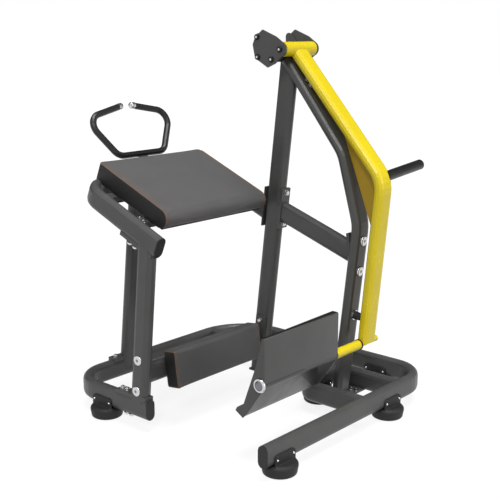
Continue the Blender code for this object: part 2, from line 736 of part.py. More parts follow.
def build_pad_carriers():
    length = FRAME_X - TUBE_WIDE - 2 * GAP
    for name, s in (("pad_cross_member_near", PAD_CROSS_NEAR_S), ("pad_cross_member_far", PAD_CROSS_FAR_S)):
        bar = block((length, PAD_CROSS_W, PAD_CROSS_T))
        keep(name, bar, GREY, pad_point(FRAME_X / 2, s, PAD_BOARD_N - GAP - PAD_CROSS_T / 2), PAD_PLANE)


def cushion(name, width, length, thick, edge, nose, crown, place, turn):
    """A sewn cushion: rounded edges, an optional round nose at its -y end and a crowned face at +z."""
    half = Vector((width / 2, length / 2, thick / 2))
    work = bmesh.new()
    bmesh.ops.create_cube(work, size=1.0)
    bmesh.ops.scale(work, vec=(width, length, thick), verts=work.verts)
    near = max(nose, edge)
    cuts = [(0, -half.x + edge), (0, half.x - edge), (0, -half.x / 2), (0, 0.0), (0, half.x / 2)]
    cuts += [(1, -half.y + near), (1, half.y - edge), (1, -half.y / 3), (1, half.y / 3)]
    cuts += [(2, 0.0)] if nose else [(2, -half.z + edge), (2, half.z - edge)]
    for axis, value in cuts:
        normal = Vector([1.0 if i == axis else 0.0 for i in range(3)])
        geom = work.verts[:] + work.edges[:] + work.faces[:]
        bmesh.ops.bisect_plane(work, geom=geom, dist=1e-6, plane_co=normal * value, plane_no=normal)
    for vert in work.verts:
        x, y, z = vert.co
        bulge = crown * (1 - (x / half.x) ** 2) * (1 - (y / half.y) ** 2)
        if nose and y < -half.y + nose - 1e-6:
            reach = Vector((y + half.y - nose, z))
            reach = reach.normalized() * nose
            y, z = reach[0] - half.y + nose, reach[1]
        sides = [abs(abs(v) - h) < 1e-5 for v, h in zip(vert.co, half)]
        if sum(sides) > 1:
            drop = edge * (1 - math.sqrt(0.5))
            x -= math.copysign(drop, x) if sides[0] else 0.0
            y -= math.copysign(drop, y) if sides[1] else 0.0
            z -= math.copysign(drop, z) if sides[2] and not (nose and sides[1]) else 0.0
        elif sides[0] and abs(z) < half.z / 2:
            x -= math.copysign(DRAW_IN, x)
        vert.co = (x, y, z + (bulge if z > 0 else 0.0))
    mesh = bpy.data.meshes.new(name)
    bmesh.ops.recalc_face_normals(work, faces=work.faces)
    work.to_mesh(mesh)
    work.free()
    pad = keep(name, mesh, LEATHER, place, turn)
    soft = pad.modifiers.new("soft", "SUBSURF")
    soft.levels = 1
    soft.render_levels = 1
    return pad


def board(name, width, length, thick, place, turn):
    piece = keep(name, block((width, length, thick)), BOARD, place, turn)
    edge = piece.modifiers.new("edge", "BEVEL")
    edge.width = BOARD_EDGE
    edge.segments = 2
    edge.limit_method = "ANGLE"
    return piece


def build_chest_pad():
    middle = CHEST_START_S + CHEST_LENGTH / 2
    board_start = CHEST_START_S + CHEST_BOARD_NOSE
    board_end = PAD_FRAME_RUN - TUBE_WIDE / 2 - CHEST_BOARD_CLEAR
    board(
        "chest_pad_board",
        CHEST_WIDTH - 2 * CHEST_BOARD_INSET,
        board_end - board_start,
        CHEST_BOARD_T,
        pad_point(CHEST_X, (board_start + board_end) / 2, PAD_BOARD_N + CHEST_BOARD_T / 2),
        PAD_PLANE,
    )
    n = PAD_BOARD_N + CHEST_BOARD_T + GAP + CHEST_THICK / 2
    cushion(
        "chest_pad_cushion",
        CHEST_WIDTH,
        CHEST_LENGTH,
        CHEST_THICK,
        CHEST_EDGE_R,
        CHEST_THICK / 2,
        CHEST_CROWN,
        pad_point(CHEST_X, middle, n),
        PAD_PLANE,
    )


# Knee pad

KNEE_PLANE = Euler((math.pi / 2 - KNEE_PAD_TILT, 0.0, 0.0))


def post_y(z):
    return FRONT_POST_FOOT_Y + FRONT_POST_SLOPE * (z - LEG_TOP)


def knee_beam_y():
    return post_y(KNEE_BEAM_Z) - KNEE_BEAM_SET


def build_knee_beam():
    start = TUBE_WIDE / 2 + GAP
    end = FRAME_X - TUBE_WIDE / 2 - GAP
    path = [(start, knee_beam_y()), (end, knee_beam_y())]
    beam = keep("knee_beam", oval_sweep(path), GREY, (0, 0, KNEE_BEAM_Z))
    plate = (KNEE_FLANGE_T, KNEE_FLANGE_W, KNEE_FLANGE_TALL)
    left_at = (start + KNEE_FLANGE_T / 2, post_y(KNEE_BEAM_Z), KNEE_BEAM_Z)
    right_at = (end - KNEE_FLANGE_T / 2, upright_y(KNEE_BEAM_Z), KNEE_BEAM_Z)
    left_turn = Euler((math.atan(-FRONT_POST_SLOPE), 0.0, 0.0))
    boolean(beam, cutter("knee_flange_left", block(plate), left_at, left_turn), "UNION")
    boolean(beam, cutter("knee_flange_right", block(plate), right_at, UPRIGHT_TURN), "UNION")
    return beam


def build_knee_pad():
    outward = KNEE_PLANE.to_matrix() @ Vector((0, 0, 1))
    lean = TUBE_WIDE / 2 * math.tan(KNEE_PAD_TILT)
    back = Vector((KNEE_PAD_X, knee_beam_y() - TUBE_WIDE / 2 - lean, KNEE_BEAM_Z + KNEE_PAD_RISE))
    board(
        "knee_pad_board",
        KNEE_PAD_WIDTH - 2 * KNEE_BOARD_INSET,
        KNEE_PAD_TALL - 2 * KNEE_BOARD_INSET,
        KNEE_BOARD_T,
        back + outward * KNEE_BOARD_T / 2,
        KNEE_PLANE,
    )
    cushion(
        "knee_pad_cushion",
        KNEE_PAD_WIDTH,
        KNEE_PAD_TALL,
        KNEE_PAD_THICK,
        KNEE_EDGE_R,
        0.0,
        KNEE_CROWN,
        back + outward * (KNEE_BOARD_T + GAP + KNEE_PAD_THICK / 2),
        KNEE_PLANE,
    )


# Handles

HANDLE_PLANE = Euler((HANDLE_TILT, 0.0, 0.0))
HANDLE_ORIGIN = pad_point(CHEST_X + HANDLE_SHIFT, PAD_FRAME_RUN + HANDLE_BEYOND, HANDLE_RISE)


def build_handles(pad_tool):
    side = [(HANDLE_HALF_GAP, HANDLE_TOP_V), (HANDLE_HALF_SPAN, HANDLE_SIDE_V), (HANDLE_HALF_BASE, 0.0)]
    corners = [(-u, v, 0.0) for u, v in side] + [(u, v, 0.0) for u, v in reversed(side)]
    keep("handle_bar", round_sweep(corners, HANDLE_BEND_R, HANDLE_R), BLACK, HANDLE_ORIGIN, HANDLE_PLANE)
    tool = round_sweep(corners, HANDLE_BEND_R, HANDLE_R + GAP)
    bar_tool = cutter("handle_tool", tool, HANDLE_ORIGIN, HANDLE_PLANE)
    for name, sign in (("handle_cap_left", -1), ("handle_cap_right", 1)):
        end = Vector((sign * HANDLE_HALF_GAP, HANDLE_TOP_V, 0.0))
        inner = Vector((sign * HANDLE_HALF_SPAN, HANDLE_SIDE_V, 0.0))
        out = HANDLE_PLANE.to_matrix() @ (end - inner).normalized()
        at = HANDLE_ORIGIN + HANDLE_PLANE.to_matrix() @ end + out * GAP
        dome = [(HANDLE_CAP_R * out_share, HANDLE_CAP_T * rise) for out_share, rise in DOME_PROFILE]
        cap = turned([*dome, (HANDLE_CAP_R, 0.0), (0.0, 0.0)], 16)
        keep(name, cap, CHROME, at, toward(out).to_euler())
    back = pad_point(CHEST_X + HANDLE_SHIFT, PAD_FRAME_RUN)
    run = HANDLE_ORIGIN - back
    bracket = block((BRACKET_W, BRACKET_T, run.length))
    piece = keep("handle_bracket", bracket, GREY, back + run / 2, toward(run).to_euler())
    boolean(piece, pad_tool)
    boolean(piece, bar_tool)


# Main frame

def on_rear_tube(z):
    """Centre-line y of the bent rear tube and the direction out of its -Y face, at a given z."""
    runs = [REAR_TUBE_TOP, REAR_TUBE_BEND_1, REAR_TUBE_BEND_2, (REAR_TUBE_FOOT_Y, PLATE_TOP)]
    for high, low in zip(runs, runs[1:]):
        if z >= low[1]:
            break
    slope = (high[0] - low[0]) / (high[1] - low[1])
    out = Vector((0.0, -1.0, slope)).normalized()
    return low[0] + slope * (z - low[1]), out


def rear_face(x, z, side=1):
    """A point on the bent rear tube's -Y face (side 1) or +Y face (side -1), and the way out of it."""
    y, out = on_rear_tube(z)
    return Vector((x, y, z)) + out * side * TUBE_WIDE / 2, out * side


PLATE_TOP = BASE_CENTRE_Z - TUBE_TALL / 2 + FOOT_PLATE_T


def build_upright(head_tool, rail_tool):
    path = [(upright_y(PLATE_TOP), PLATE_TOP + GAP), (upright_y(UPRIGHT_TOP_Z), UPRIGHT_TOP_Z)]
    upright = keep("mid_upright", oval_sweep(path, flat=True), GREY, (FRAME_X, 0, 0), SIDE_PLANE)
    boolean(upright, head_tool)
    floor_cut = block((FLOOR_CUT, FLOOR_CUT, PLATE_TOP))
    boolean(upright, cutter("upright_floor", floor_cut, (FRAME_X, upright_y(0), PLATE_TOP / 2 + GAP)))
    x0 = FRAME_X - UPRIGHT_PLATE_LEFT
    width = MAIN_RAIL_X - PLATE_SHORT - x0
    depth = UPRIGHT_PLATE_NEAR + UPRIGHT_PLATE_FAR
    y = upright_y(PLATE_TOP) + (UPRIGHT_PLATE_FAR - UPRIGHT_PLATE_NEAR) / 2
    at = (x0 + width / 2, y, PLATE_TOP - FOOT_PLATE_T / 2)
    plate = keep("upright_foot_plate", block((width, depth, FOOT_PLATE_T)), GREY, at)
    boolean(plate, rail_tool)


def build_rear_tube(upright_tool, head_tool, rail_tool, cross_tool):
    foot = (REAR_TUBE_FOOT_Y, PLATE_TOP)
    path = [REAR_TUBE_TOP, REAR_TUBE_BEND_1, REAR_TUBE_BEND_2, foot]
    tube = keep("bent_rear_tube", oval_sweep(path, REAR_TUBE_BEND_R), GREY, (FRAME_X, 0, 0), SIDE_PLANE)
    boolean(tube, upright_tool)
    boolean(tube, head_tool)
    floor_cut = block((FLOOR_CUT, FLOOR_CUT, PLATE_TOP))
    boolean(tube, cutter("rear_tube_floor", floor_cut, (FRAME_X, foot[0], PLATE_TOP / 2 + GAP)))
    width = MAIN_RAIL_X - CROSS_TUBE_X - 2 * PLATE_SHORT
    depth = REAR_PLATE_NEAR + REAR_PLATE_FAR
    middle = REAR_TUBE_FOOT_Y + (REAR_PLATE_FAR - REAR_PLATE_NEAR) / 2
    at = ((MAIN_RAIL_X + CROSS_TUBE_X) / 2, middle, PLATE_TOP - FOOT_PLATE_T / 2)
    plate = keep("rear_tube_foot_plate", block((width, depth, FOOT_PLATE_T)), GREY, at)
    boolean(plate, rail_tool)
    boolean(plate, cross_tool)
    return tube, plate


def build_inclined_beam(upright_tool, rear_tool):
    start = (upright_y(BEAM_UPRIGHT_Z), BEAM_UPRIGHT_Z)
    rear_y, rear_out = on_rear_tube(BEAM_REAR_Z)
    path = [start, (rear_y, BEAM_REAR_Z)]
    beam = keep("inclined_beam", oval_sweep(path, flat=True), GREY, (FRAME_X, 0, 0), SIDE_PLANE)
    plate = (BEAM_FLANGE_W, 2 * BEAM_FLANGE_T, BEAM_FLANGE_TALL)
    near_at = (FRAME_X, start[0] - UPRIGHT_HALF_Y, BEAM_UPRIGHT_Z)
    boolean(beam, cutter("beam_flange_upright", block(plate), near_at, UPRIGHT_TURN), "UNION")
    rear_at = Vector((FRAME_X, rear_y, BEAM_REAR_Z)) - rear_out * TUBE_WIDE / 2
    rear_turn = Euler((math.atan(rear_out.z), 0.0, 0.0))
    boolean(beam, cutter("beam_flange_rear", block(plate), rear_at, rear_turn), "UNION")
    boolean(beam, upright_tool)
    boolean(beam, rear_tool)
    return beam


# Pivot head

NEAR_PLATE_X = FRAME_X - PIVOT_PLATE_SPAN / 2 - PIVOT_PLATE_T / 2
FAR_PLATE_X = FRAME_X + PIVOT_PLATE_SPAN / 2 + PIVOT_PLATE_T / 2


def from_pivot(offset):
    return PIVOT_Y + offset[0], PIVOT_Z + offset[1]


def hull(points):
    """Convex outline round a set of points."""
    ordered = sorted(set((round(x, 6), round(y, 6)) for x, y in points))
    chains = []
    for run in (ordered, ordered[::-1]):
        chain = []
        for point in run:
            while len(chain) > 1:
                (ax, ay), (bx, by) = chain[-2], chain[-1]
                if (bx - ax) * (point[1] - ay) - (by - ay) * (point[0] - ax) > 0:
                    break
                chain.pop()
            chain.append(point)
        chains += chain[:-1]
    return chains


def build_head():
    outline = arc((PIVOT_Y, PIVOT_Z), PIVOT_LOBE_R, PIVOT_LOBE_FROM, PIVOT_LOBE_TO, 9)
    outline += [from_pivot(spot) for spot in PIVOT_PLATE_EDGE]
    plates = []
    for name, x in (("pivot_plate_left", NEAR_PLATE_X), ("pivot_plate_right", FAR_PLATE_X)):
        plates.append(keep(name, prism(outline, PIVOT_PLATE_T), GREY, (x, 0, 0), SIDE_PLANE))
    span = PIVOT_PLATE_SPAN - 2 * GAP
    along_x = toward((1, 0, 0))
    bar = cylinder(HEAD_TUBE_R, span, 24)
    bar.transform(along_x)
    at = (FRAME_X, *from_pivot(HEAD_TUBE_OFFSET))
    head = keep("head_cross_tube", bar, GREY, at)
    circles = []
    for spot in PIVOT_PLATE_BOLTS:
        circles += arc(from_pivot(spot), HEAD_FLANGE_R, 0, 2 * math.pi, 12)
    for side in (-1, 1):
        x = FRAME_X + side * (span / 2 - HEAD_FLANGE_T / 2)
        tool = cutter("head_flange", prism(hull(circles), HEAD_FLANGE_T), (x, 0, 0), SIDE_PLANE)
        boolean(head, tool, "UNION")
    grown = cylinder(HEAD_TUBE_R + GAP, PIVOT_PLATE_SPAN, 24)
    grown.transform(along_x)
    head_tool = cutter("head_tool", grown, at)
    shaft = cylinder(PIVOT_SHAFT_R, span, 24)
    shaft.transform(along_x)
    shaft = keep("pivot_shaft", shaft, STEEL, (FRAME_X, PIVOT_Y, PIVOT_Z))
    return plates, head_tool, shaft


# Lever arm, all carried by the pivot

def build_arm():
    along_x = toward((1, 0, 0))
    at = (FRAME_X, PIVOT_Y, PIVOT_Z)
    length = PIVOT_PLATE_SPAN - 2 * PIVOT_TUBE_GAP
    tube = ring(PIVOT_TUBE_R, BEARING_R + GAP, length, 32)
    tube.transform(along_x)
    keep("arm_pivot_tube", tube, YELLOW, at, parent=arm_pivot)
    for name, side in (("pivot_bearing_left", -1), ("pivot_bearing_right", 1)):
        bearing = ring(BEARING_R, PIVOT_SHAFT_R + GAP, BEARING_T, 24)
        bearing.transform(along_x)
        x = FRAME_X + side * (length / 2 - BEARING_T / 2)
        keep(name, bearing, STEEL, (x, PIVOT_Y, PIVOT_Z), parent=arm_pivot)
    grown = cylinder(PIVOT_TUBE_R + GAP, length, 32)
    grown.transform(along_x)
    pivot_tool = cutter("pivot_tube_tool", grown, at)
    foot = (SHAFT_Y, SHAFT_Z)
    path = [(PIVOT_Y, PIVOT_Z), ARM_CORNER, foot]
    arm = keep("lever_arm", oval_sweep(path, ARM_BEND_R), YELLOW, (FRAME_X, 0, 0), SIDE_PLANE, arm_pivot)
    boolean(arm, pivot_tool)
    arm_tool = cutter("arm_tool", oval_sweep(path, ARM_BEND_R, grow=GAP), (FRAME_X, 0, 0), SIDE_PLANE)
    gusset = prism([GUSSET_TOP, GUSSET_LOW, ARM_CORNER], GUSSET_T)
    gusset = keep("lever_arm_gusset", gusset, GOLD, (FRAME_X, 0, 0), SIDE_PLANE, arm_pivot)
    boolean(gusset, arm_tool)

    profile = [(HORN_R * out, HORN_LENGTH - HORN_DOME * (1 - rise)) for out, rise in DOME_PROFILE]
    horn = turned([*profile, (HORN_R, -HORN_SINK), (0.0, -HORN_SINK)], 24)
    way = (math.cos(HORN_TILT), 0.0, math.sin(HORN_TILT))
    horn_at = (FRAME_X + TUBE_TALL / 2, HORN_Y, HORN_Z)
    horn = keep("weight_horn", horn, BLACK, horn_at, toward(way).to_euler(), arm_pivot)
    boolean(horn, arm_tool)

    left = FOOT_X0 - BUSH_FLANGE_T - GAP - END_PLAY
    bar = cylinder(BAR_R, BAR_RIGHT_X - left, 24)
    bar.transform(along_x)
    bar_at = ((BAR_RIGHT_X + left) / 2, SHAFT_Y, SHAFT_Z)
    keep("arm_cross_bar", bar, YELLOW, bar_at, parent=arm_pivot)
    grown = cylinder(BAR_R + GAP, BAR_RIGHT_X - left + 2 * GAP, 24)
    grown.transform(along_x)
    boolean(arm, cutter("bar_tool", grown, bar_at))

    sleeve_x0 = FOOT_X1 + BUSH_FLANGE_T + GAP + END_PLAY
    sleeve = ring(SLEEVE_R, BAR_R + GAP, SLEEVE_X1 - sleeve_x0, 24)
    sleeve.transform(along_x)
    keep("cross_bar_sleeve", sleeve, YELLOW, ((SLEEVE_X1 + sleeve_x0) / 2, SHAFT_Y, SHAFT_Z), parent=arm_pivot)
    collar = ring(RING_R, BAR_R + GAP, RING_T, 24)
    collar.transform(along_x)
    ring_x = SLEEVE_X1 + GAP + RING_T / 2
    keep("sleeve_end_ring", collar, BLACK, (ring_x, SHAFT_Y, SHAFT_Z), parent=arm_pivot)
    dome = [(DOME_R * out, DOME_H * rise) for out, rise in DOME_PROFILE]
    cap = turned([*dome, (DOME_R, 0.0), (0.0, 0.0)], 24)
    cap.transform(toward((-1, 0, 0)))
    keep("shaft_dome_cap", cap, CHROME, (left - GAP, SHAFT_Y, SHAFT_Z), parent=arm_pivot)


# Foot plate, all carried by the cross bar

def strip(points, thick):
    """Outline of a bent sheet whose outer face runs through the points; the sheet lies to their left."""
    normals = []
    for a, b in zip(points, points[1:]):
        run = Vector((b[0] - a[0], b[1] - a[1])).normalized()
        normals.append(Vector((-run.y, run.x)))
    inner = []
    for index, point in enumerate(points):
        before = normals[max(index - 1, 0)]
        after = normals[min(index, len(normals) - 1)]
        mitre = (before + after).normalized()
        inner.append(Vector(point) + mitre * thick / mitre.dot(after))
    return [*points, *[tuple(p) for p in reversed(inner)]]


def build_foot_plate():
    along_x = toward((1, 0, 0))
    middle = (FOOT_X0 + FOOT_X1) / 2
    inside = FOOT_X1 - FOOT_X0 - 2 * (FOOT_SHEET + GAP)
    at = (middle, SHAFT_Y, SHAFT_Z)
    bore = HUB_R - HUB_WALL
    hub = ring(HUB_R, bore, inside, 24)
    hub.transform(along_x)
    keep("foot_plate_hub", hub, GREY, at, parent=foot_pivot)
    grown = cylinder(HUB_R + GAP, inside + 2 * FOOT_SHEET, 24)
    grown.transform(along_x)
    hub_tool = cutter("hub_tool", grown, at)
    panel_points = [(-HUB_R + PANEL_HEM, PANEL_TOP), (-HUB_R, PANEL_TOP), (-HUB_R, PANEL_START)]
    lip_points = [LIP_START, LIP_CORNER, LIP_TOE, LIP_TOE_END]
    for name, points in (("foot_plate_panel", panel_points), ("foot_plate_lip", lip_points)):
        sheet = prism(strip(points, FOOT_SHEET), inside)
        piece = keep(name, sheet, GREY, at, SIDE_PLANE, foot_pivot)
        boolean(piece, hub_tool)
    hole = cylinder(bore, 4 * FOOT_SHEET, 24)
    hole.transform(along_x)
    for hand, side, edge in (("left", -1, FOOT_X0), ("right", 1, FOOT_X1)):
        name = "foot_plate_side_" + hand
        x = edge - side * FOOT_SHEET / 2
        plate = keep(name, prism(SIDE_PROFILE, FOOT_SHEET), GREY, (x, SHAFT_Y, SHAFT_Z), SIDE_PLANE, foot_pivot)
        boolean(plate, cutter(name + "_bore", hole.copy(), (x, SHAFT_Y, SHAFT_Z)))
        inner = BAR_R + GAP
        outer = bore - GAP
        profile = [
            (BUSH_FLANGE_R, BUSH_FLANGE_T),
            (BUSH_FLANGE_R, 0.0),
            (outer, 0.0),
            (outer, -BUSH_LENGTH),
            (inner, -BUSH_LENGTH),
            (inner, BUSH_FLANGE_T),
            (BUSH_FLANGE_R, BUSH_FLANGE_T),
        ]
        liner = turned(profile, 24)
        liner.transform(toward((side, 0, 0)))
        keep("foot_bush_" + hand, liner, BRONZE, (edge + side * GAP, SHAFT_Y, SHAFT_Z), parent=foot_pivot)


# Fasteners and bumpers

def add_cap_bolts(post, rear_tube, plates, shaft):
    """The bolts that have nodes of their own."""
    half = TUBE_WIDE / 2
    for name, side in (("post_cap_bolt_upper", 1), ("post_cap_bolt_lower", -1)):
        z = KNEE_BEAM_Z + side * KNEE_BOLT_PITCH / 2
        bolt(name, (-half, post_y(z), z), (-1, 0, 0), [post])
    for name, z in zip(("rear_cap_bolt_upper", "rear_cap_bolt_lower"), REAR_CAP_BOLTS_Z):
        bolt(name, *rear_face(FRAME_X, z), [rear_tube])
    for name, side, x, plate in (
        ("pivot_bolt_left", -1, NEAR_PLATE_X, plates[0]),
        ("pivot_bolt_right", 1, FAR_PLATE_X, plates[1]),
    ):
        at = (x + side * PIVOT_PLATE_T / 2, PIVOT_Y, PIVOT_Z)
        bolt(name, at, (side, 0, 0), [plate, shaft], PIVOT_BOLT_SHANK)


def add_bolt_heads(knee_beam, rear_tube, pad_frame, beam, post, rear_post, rear_plate, plates):
    """The bolts that are joined to the flange or plate that they clamp."""
    knee_x = FRAME_X - TUBE_WIDE / 2 - GAP - KNEE_FLANGE_T
    knee_z = [KNEE_BEAM_Z + side * KNEE_BOLT_PITCH / 2 for side in (1, -1)]
    bolt_heads(knee_beam, [((knee_x, upright_y(z), z), (-1, 0, 0)) for z in knee_z])
    bolt_heads(rear_tube, [rear_face(FRAME_X, z) for z in REAR_UPPER_BOLTS_Z])
    lean = Vector((0.0, 1.0, -UPRIGHT_SLOPE)).normalized()
    reach = UPRIGHT_HALF_Y + BEAM_FLANGE_T / lean.y
    for seat, way in ((pad_frame, 1), (beam, -1)):
        places = []
        for side in (1, -1):
            z = BEAM_UPRIGHT_Z + side * BEAM_BOLT_PITCH / 2
            places.append(((FRAME_X, upright_y(z) + way * reach, z), lean * way))
        bolt_heads(seat, places)
    top = LEG_TOP + FLANGE_T
    up = (0, 0, 1)
    down = PAD_PLANE.to_matrix() @ Vector((0, 0, -1))
    under = -TUBE_TALL / 2 - FLANGE_T
    post_places = [((0, FRONT_POST_FOOT_Y + y, top), up) for y in FRONT_FLANGE_BOLTS]
    bolt_heads(post, post_places + [(pad_point(0, s, under), down) for s in FRONT_STRIP_BOLTS_S])
    shift = TUBE_TALL / 2 + REAR_FLANGE_OVERHANG - REAR_FLANGE_BOLT_INSET
    bolt_heads(rear_post, [((REAR_POST_X + side * shift, BASE_SPAN_Y, top), up) for side in (-1, 1)])
    bolt_heads(rear_plate, [((REAR_PLATE_BOLT_X, y, PLATE_TOP), up) for y in REAR_PLATE_BOLTS_Y])
    for plate, side, x in ((plates[0], -1, NEAR_PLATE_X), (plates[1], 1, FAR_PLATE_X)):
        face = x + side * PIVOT_PLATE_T / 2
        bolt_heads(plate, [((face, *from_pivot(spot)), (side, 0, 0)) for spot in PIVOT_PLATE_BOLTS])


def build_bumper():
    arm_y = SHAFT_Y + (ARM_CORNER[0] - SHAFT_Y) * (BUMPER_Z - SHAFT_Z) / (ARM_CORNER[1] - SHAFT_Z)
    seat, out = rear_face(FRAME_X, BUMPER_Z)
    arm_half = TUBE_WIDE / 2 * math.hypot(1.0, (ARM_CORNER[0] - SHAFT_Y) / (ARM_CORNER[1] - SHAFT_Z))
    gap = (seat.y - arm_y - arm_half) / -out.y
    base = cylinder(BUMPER_BASE_R, BUMPER_BASE_T, 24)
    base.transform(Matrix.Translation((0, 0, BUMPER_BASE_T / 2 + GAP)))
    keep("bumper_washer", base, CHROME, seat, toward(out).to_euler())
    length = gap - BUMPER_BASE_T - 3 * GAP - BUMPER_CLEAR
    rubber = cylinder(BUMPER_R, length, 24, BUMPER_TIP_R)
    rubber.transform(Matrix.Translation((0, 0, BUMPER_BASE_T + 2 * GAP + length / 2)))
    keep("arm_bumper", rubber, RUBBER, seat, toward(out).to_euler())


def build_machine():
    loop_tool, rail_tool, cross_tool = build_base()
    build_feet(loop_tool, cross_tool)
    pad_tool = cutter("pad_tool", oval_sweep(PAD_PATH, PAD_BEND_R, grow=GAP), PAD_ORIGIN, PAD_PLANE)
    upright_path = [(upright_y(0.0), 0.0), (upright_y(UPRIGHT_TOP_Z), UPRIGHT_TOP_Z + GAP)]
    grown = oval_sweep(upright_path, flat=True, grow=GAP)
    upright_tool = cutter("upright_tool", grown, (FRAME_X, 0, 0), SIDE_PLANE)
    rear_path = [REAR_TUBE_TOP, REAR_TUBE_BEND_1, REAR_TUBE_BEND_2, (REAR_TUBE_FOOT_Y, PLATE_TOP)]
    grown = oval_sweep(rear_path, REAR_TUBE_BEND_R, grow=GAP)
    rear_tool = cutter("rear_tool", grown, (FRAME_X, 0, 0), SIDE_PLANE)
    post = build_front_post(loop_tool, pad_tool)
    rear_post = build_rear_post(loop_tool, pad_tool)
    pad_frame = build_pad_frame(upright_tool)
    build_pad_carriers()
    build_chest_pad()
    knee_beam = build_knee_beam()
    build_knee_pad()
    build_handles(pad_tool)
    plates, head_tool, shaft = build_head()
    build_upright(head_tool, rail_tool)
    rear_tube, rear_plate = build_rear_tube(upright_tool, head_tool, rail_tool, cross_tool)
    beam = build_inclined_beam(upright_tool, rear_tool)
    build_arm()
    build_foot_plate()
    add_cap_bolts(post, rear_tube, plates, shaft)
    add_bolt_heads(knee_beam, rear_tube, pad_frame, beam, post, rear_post, rear_plate, plates)
    build_bumper()


build_machine()
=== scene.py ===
# %% [markdown]
# A glute kickback machine, dressed for a picture.
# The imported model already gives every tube, plate and pad its place, so those pieces stay where they are.
# This lesson gives each one the finish of the real thing, and rebuilds what a plain solid can't show:
# the sewn pads with their seams, the rubber shoes, the foot plate, the bolts and the small fittings.

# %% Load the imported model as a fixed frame
import math

import bmesh
import bpy
from mathutils import Euler, Matrix, Vector
from mathutils.bvhtree import BVHTree


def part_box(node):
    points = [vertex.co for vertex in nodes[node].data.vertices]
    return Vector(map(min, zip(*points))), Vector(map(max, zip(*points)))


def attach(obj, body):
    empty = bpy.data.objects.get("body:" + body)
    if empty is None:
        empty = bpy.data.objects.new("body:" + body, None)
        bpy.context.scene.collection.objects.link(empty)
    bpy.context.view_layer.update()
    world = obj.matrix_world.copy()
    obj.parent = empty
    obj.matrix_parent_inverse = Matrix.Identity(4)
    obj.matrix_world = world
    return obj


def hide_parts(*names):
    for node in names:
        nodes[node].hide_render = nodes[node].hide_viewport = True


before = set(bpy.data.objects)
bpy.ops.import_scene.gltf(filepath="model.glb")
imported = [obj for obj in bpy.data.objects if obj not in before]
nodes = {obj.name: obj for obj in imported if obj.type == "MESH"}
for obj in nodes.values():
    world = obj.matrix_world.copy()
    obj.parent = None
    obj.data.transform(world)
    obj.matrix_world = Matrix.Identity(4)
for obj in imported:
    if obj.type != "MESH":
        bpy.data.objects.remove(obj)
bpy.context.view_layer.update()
scene = bpy.context.scene

# %% [markdown]
# The camera stands 1.8 m above the floor on the -X and -Y side of the machine, and looks a little down.
# Its place and turn are written as numbers, because Blender's own helpers think of another picture size.
# Three directions say how it is turned: what is right, down and forward in the picture.

# %% Camera
CAMERA_PLACE = Vector((-3.3575, -2.9575, 1.8))
VIEW_RIGHT = Vector((0.66203, -0.74948, 0.0))
VIEW_DOWN = Vector((-0.16969, -0.14990, -0.97403))
VIEW_FORWARD = Vector((0.73001, 0.64484, -0.22642))
FOCAL_LENGTH = 69.07
SENSOR_WIDTH = 36.0
lens = bpy.data.cameras.new("studio_camera")
lens.lens = FOCAL_LENGTH
lens.sensor_width = SENSOR_WIDTH
camera = bpy.data.objects.new("studio_camera", lens)
scene.collection.objects.link(camera)
turn = Matrix((VIEW_RIGHT, -VIEW_DOWN, -VIEW_FORWARD)).transposed()
camera.matrix_world = Matrix.Translation(CAMERA_PLACE) @ turn.to_4x4()
scene.camera = camera
print("camera at", tuple(CAMERA_PLACE))

# %% [markdown]
# Colours are easy to write as the hex values that a paint chart or a browser gives, but a shader wants
# linear light. One function turns the first into the second. A second function adds a node to a
# material, with its settings and its links, so that a finish reads as a short list.

# %% Colour and node helpers
MM = 0.001
METAL_SPECULAR = 0.5
COAT_SPECULAR = 0.38


def linear(hex_value):
    """An sRGB hex value such as "5A5A5A" as linear RGBA."""
    shares = [int(hex_value[i : i + 2], 16) / 255 for i in (0, 2, 4)]
    return (*[s / 12.92 if s <= 0.04045 else ((s + 0.055) / 1.055) ** 2.4 for s in shares], 1.0)


def add(tree, kind, inputs, **settings):
    """Adds a node. An input's value is a number, a colour, or the output that it is linked to."""
    made = tree.nodes.new(kind)
    for name, value in settings.items():
        setattr(made, name, value)
    for name, value in inputs.items():
        if isinstance(value, bpy.types.NodeSocket):
            tree.links.new(value, made.inputs[name])
        else:
            made.inputs[name].default_value = value
    return made


def start_material(name, roughness, metallic=0.0, **sockets):
    """An empty finish: its tree, its shader and the place on the object that its patterns read."""
    made = bpy.data.materials.new(name)
    made.use_nodes = True
    tree = made.node_tree
    shader = tree.nodes["Principled BSDF"]
    shader.inputs["Roughness"].default_value = roughness
    shader.inputs["Metallic"].default_value = metallic
    shader.inputs["Specular IOR Level"].default_value = METAL_SPECULAR if metallic else COAT_SPECULAR
    for socket, value in sockets.items():
        shader.inputs[socket.replace("_", " ")].default_value = value
    place = add(tree, "ShaderNodeTexCoord", {}).outputs["Object"]
    return made, tree, shader, place


def mottle(tree, place, size, low, high, detail=3.0):
    """A soft random pattern whose patches are about size metres wide, as a value from low to high."""
    noise = add(tree, "ShaderNodeTexNoise", {"Vector": place, "Scale": 1 / size, "Detail": detail})
    steps = {"Value": noise.outputs["Fac"], "From Min": 0.3, "From Max": 0.7, "To Min": low, "To Max": high}
    return add(tree, "ShaderNodeMapRange", steps).outputs["Result"]


def two_tones(tree, factor, first, second):
    """A mix of two hex colours."""
    mix = add(tree, "ShaderNodeMix", {"Factor": factor}, data_type="RGBA")
    mix.inputs[6].default_value = linear(first)
    mix.inputs[7].default_value = linear(second)
    return mix.outputs[2]


def bump(tree, shader, height, depth):
    """Raises the surface by height times depth metres, as light sees it."""
    relief = add(tree, "ShaderNodeBump", {"Height": height, "Distance": depth})
    tree.links.new(relief.outputs["Normal"], shader.inputs["Normal"])


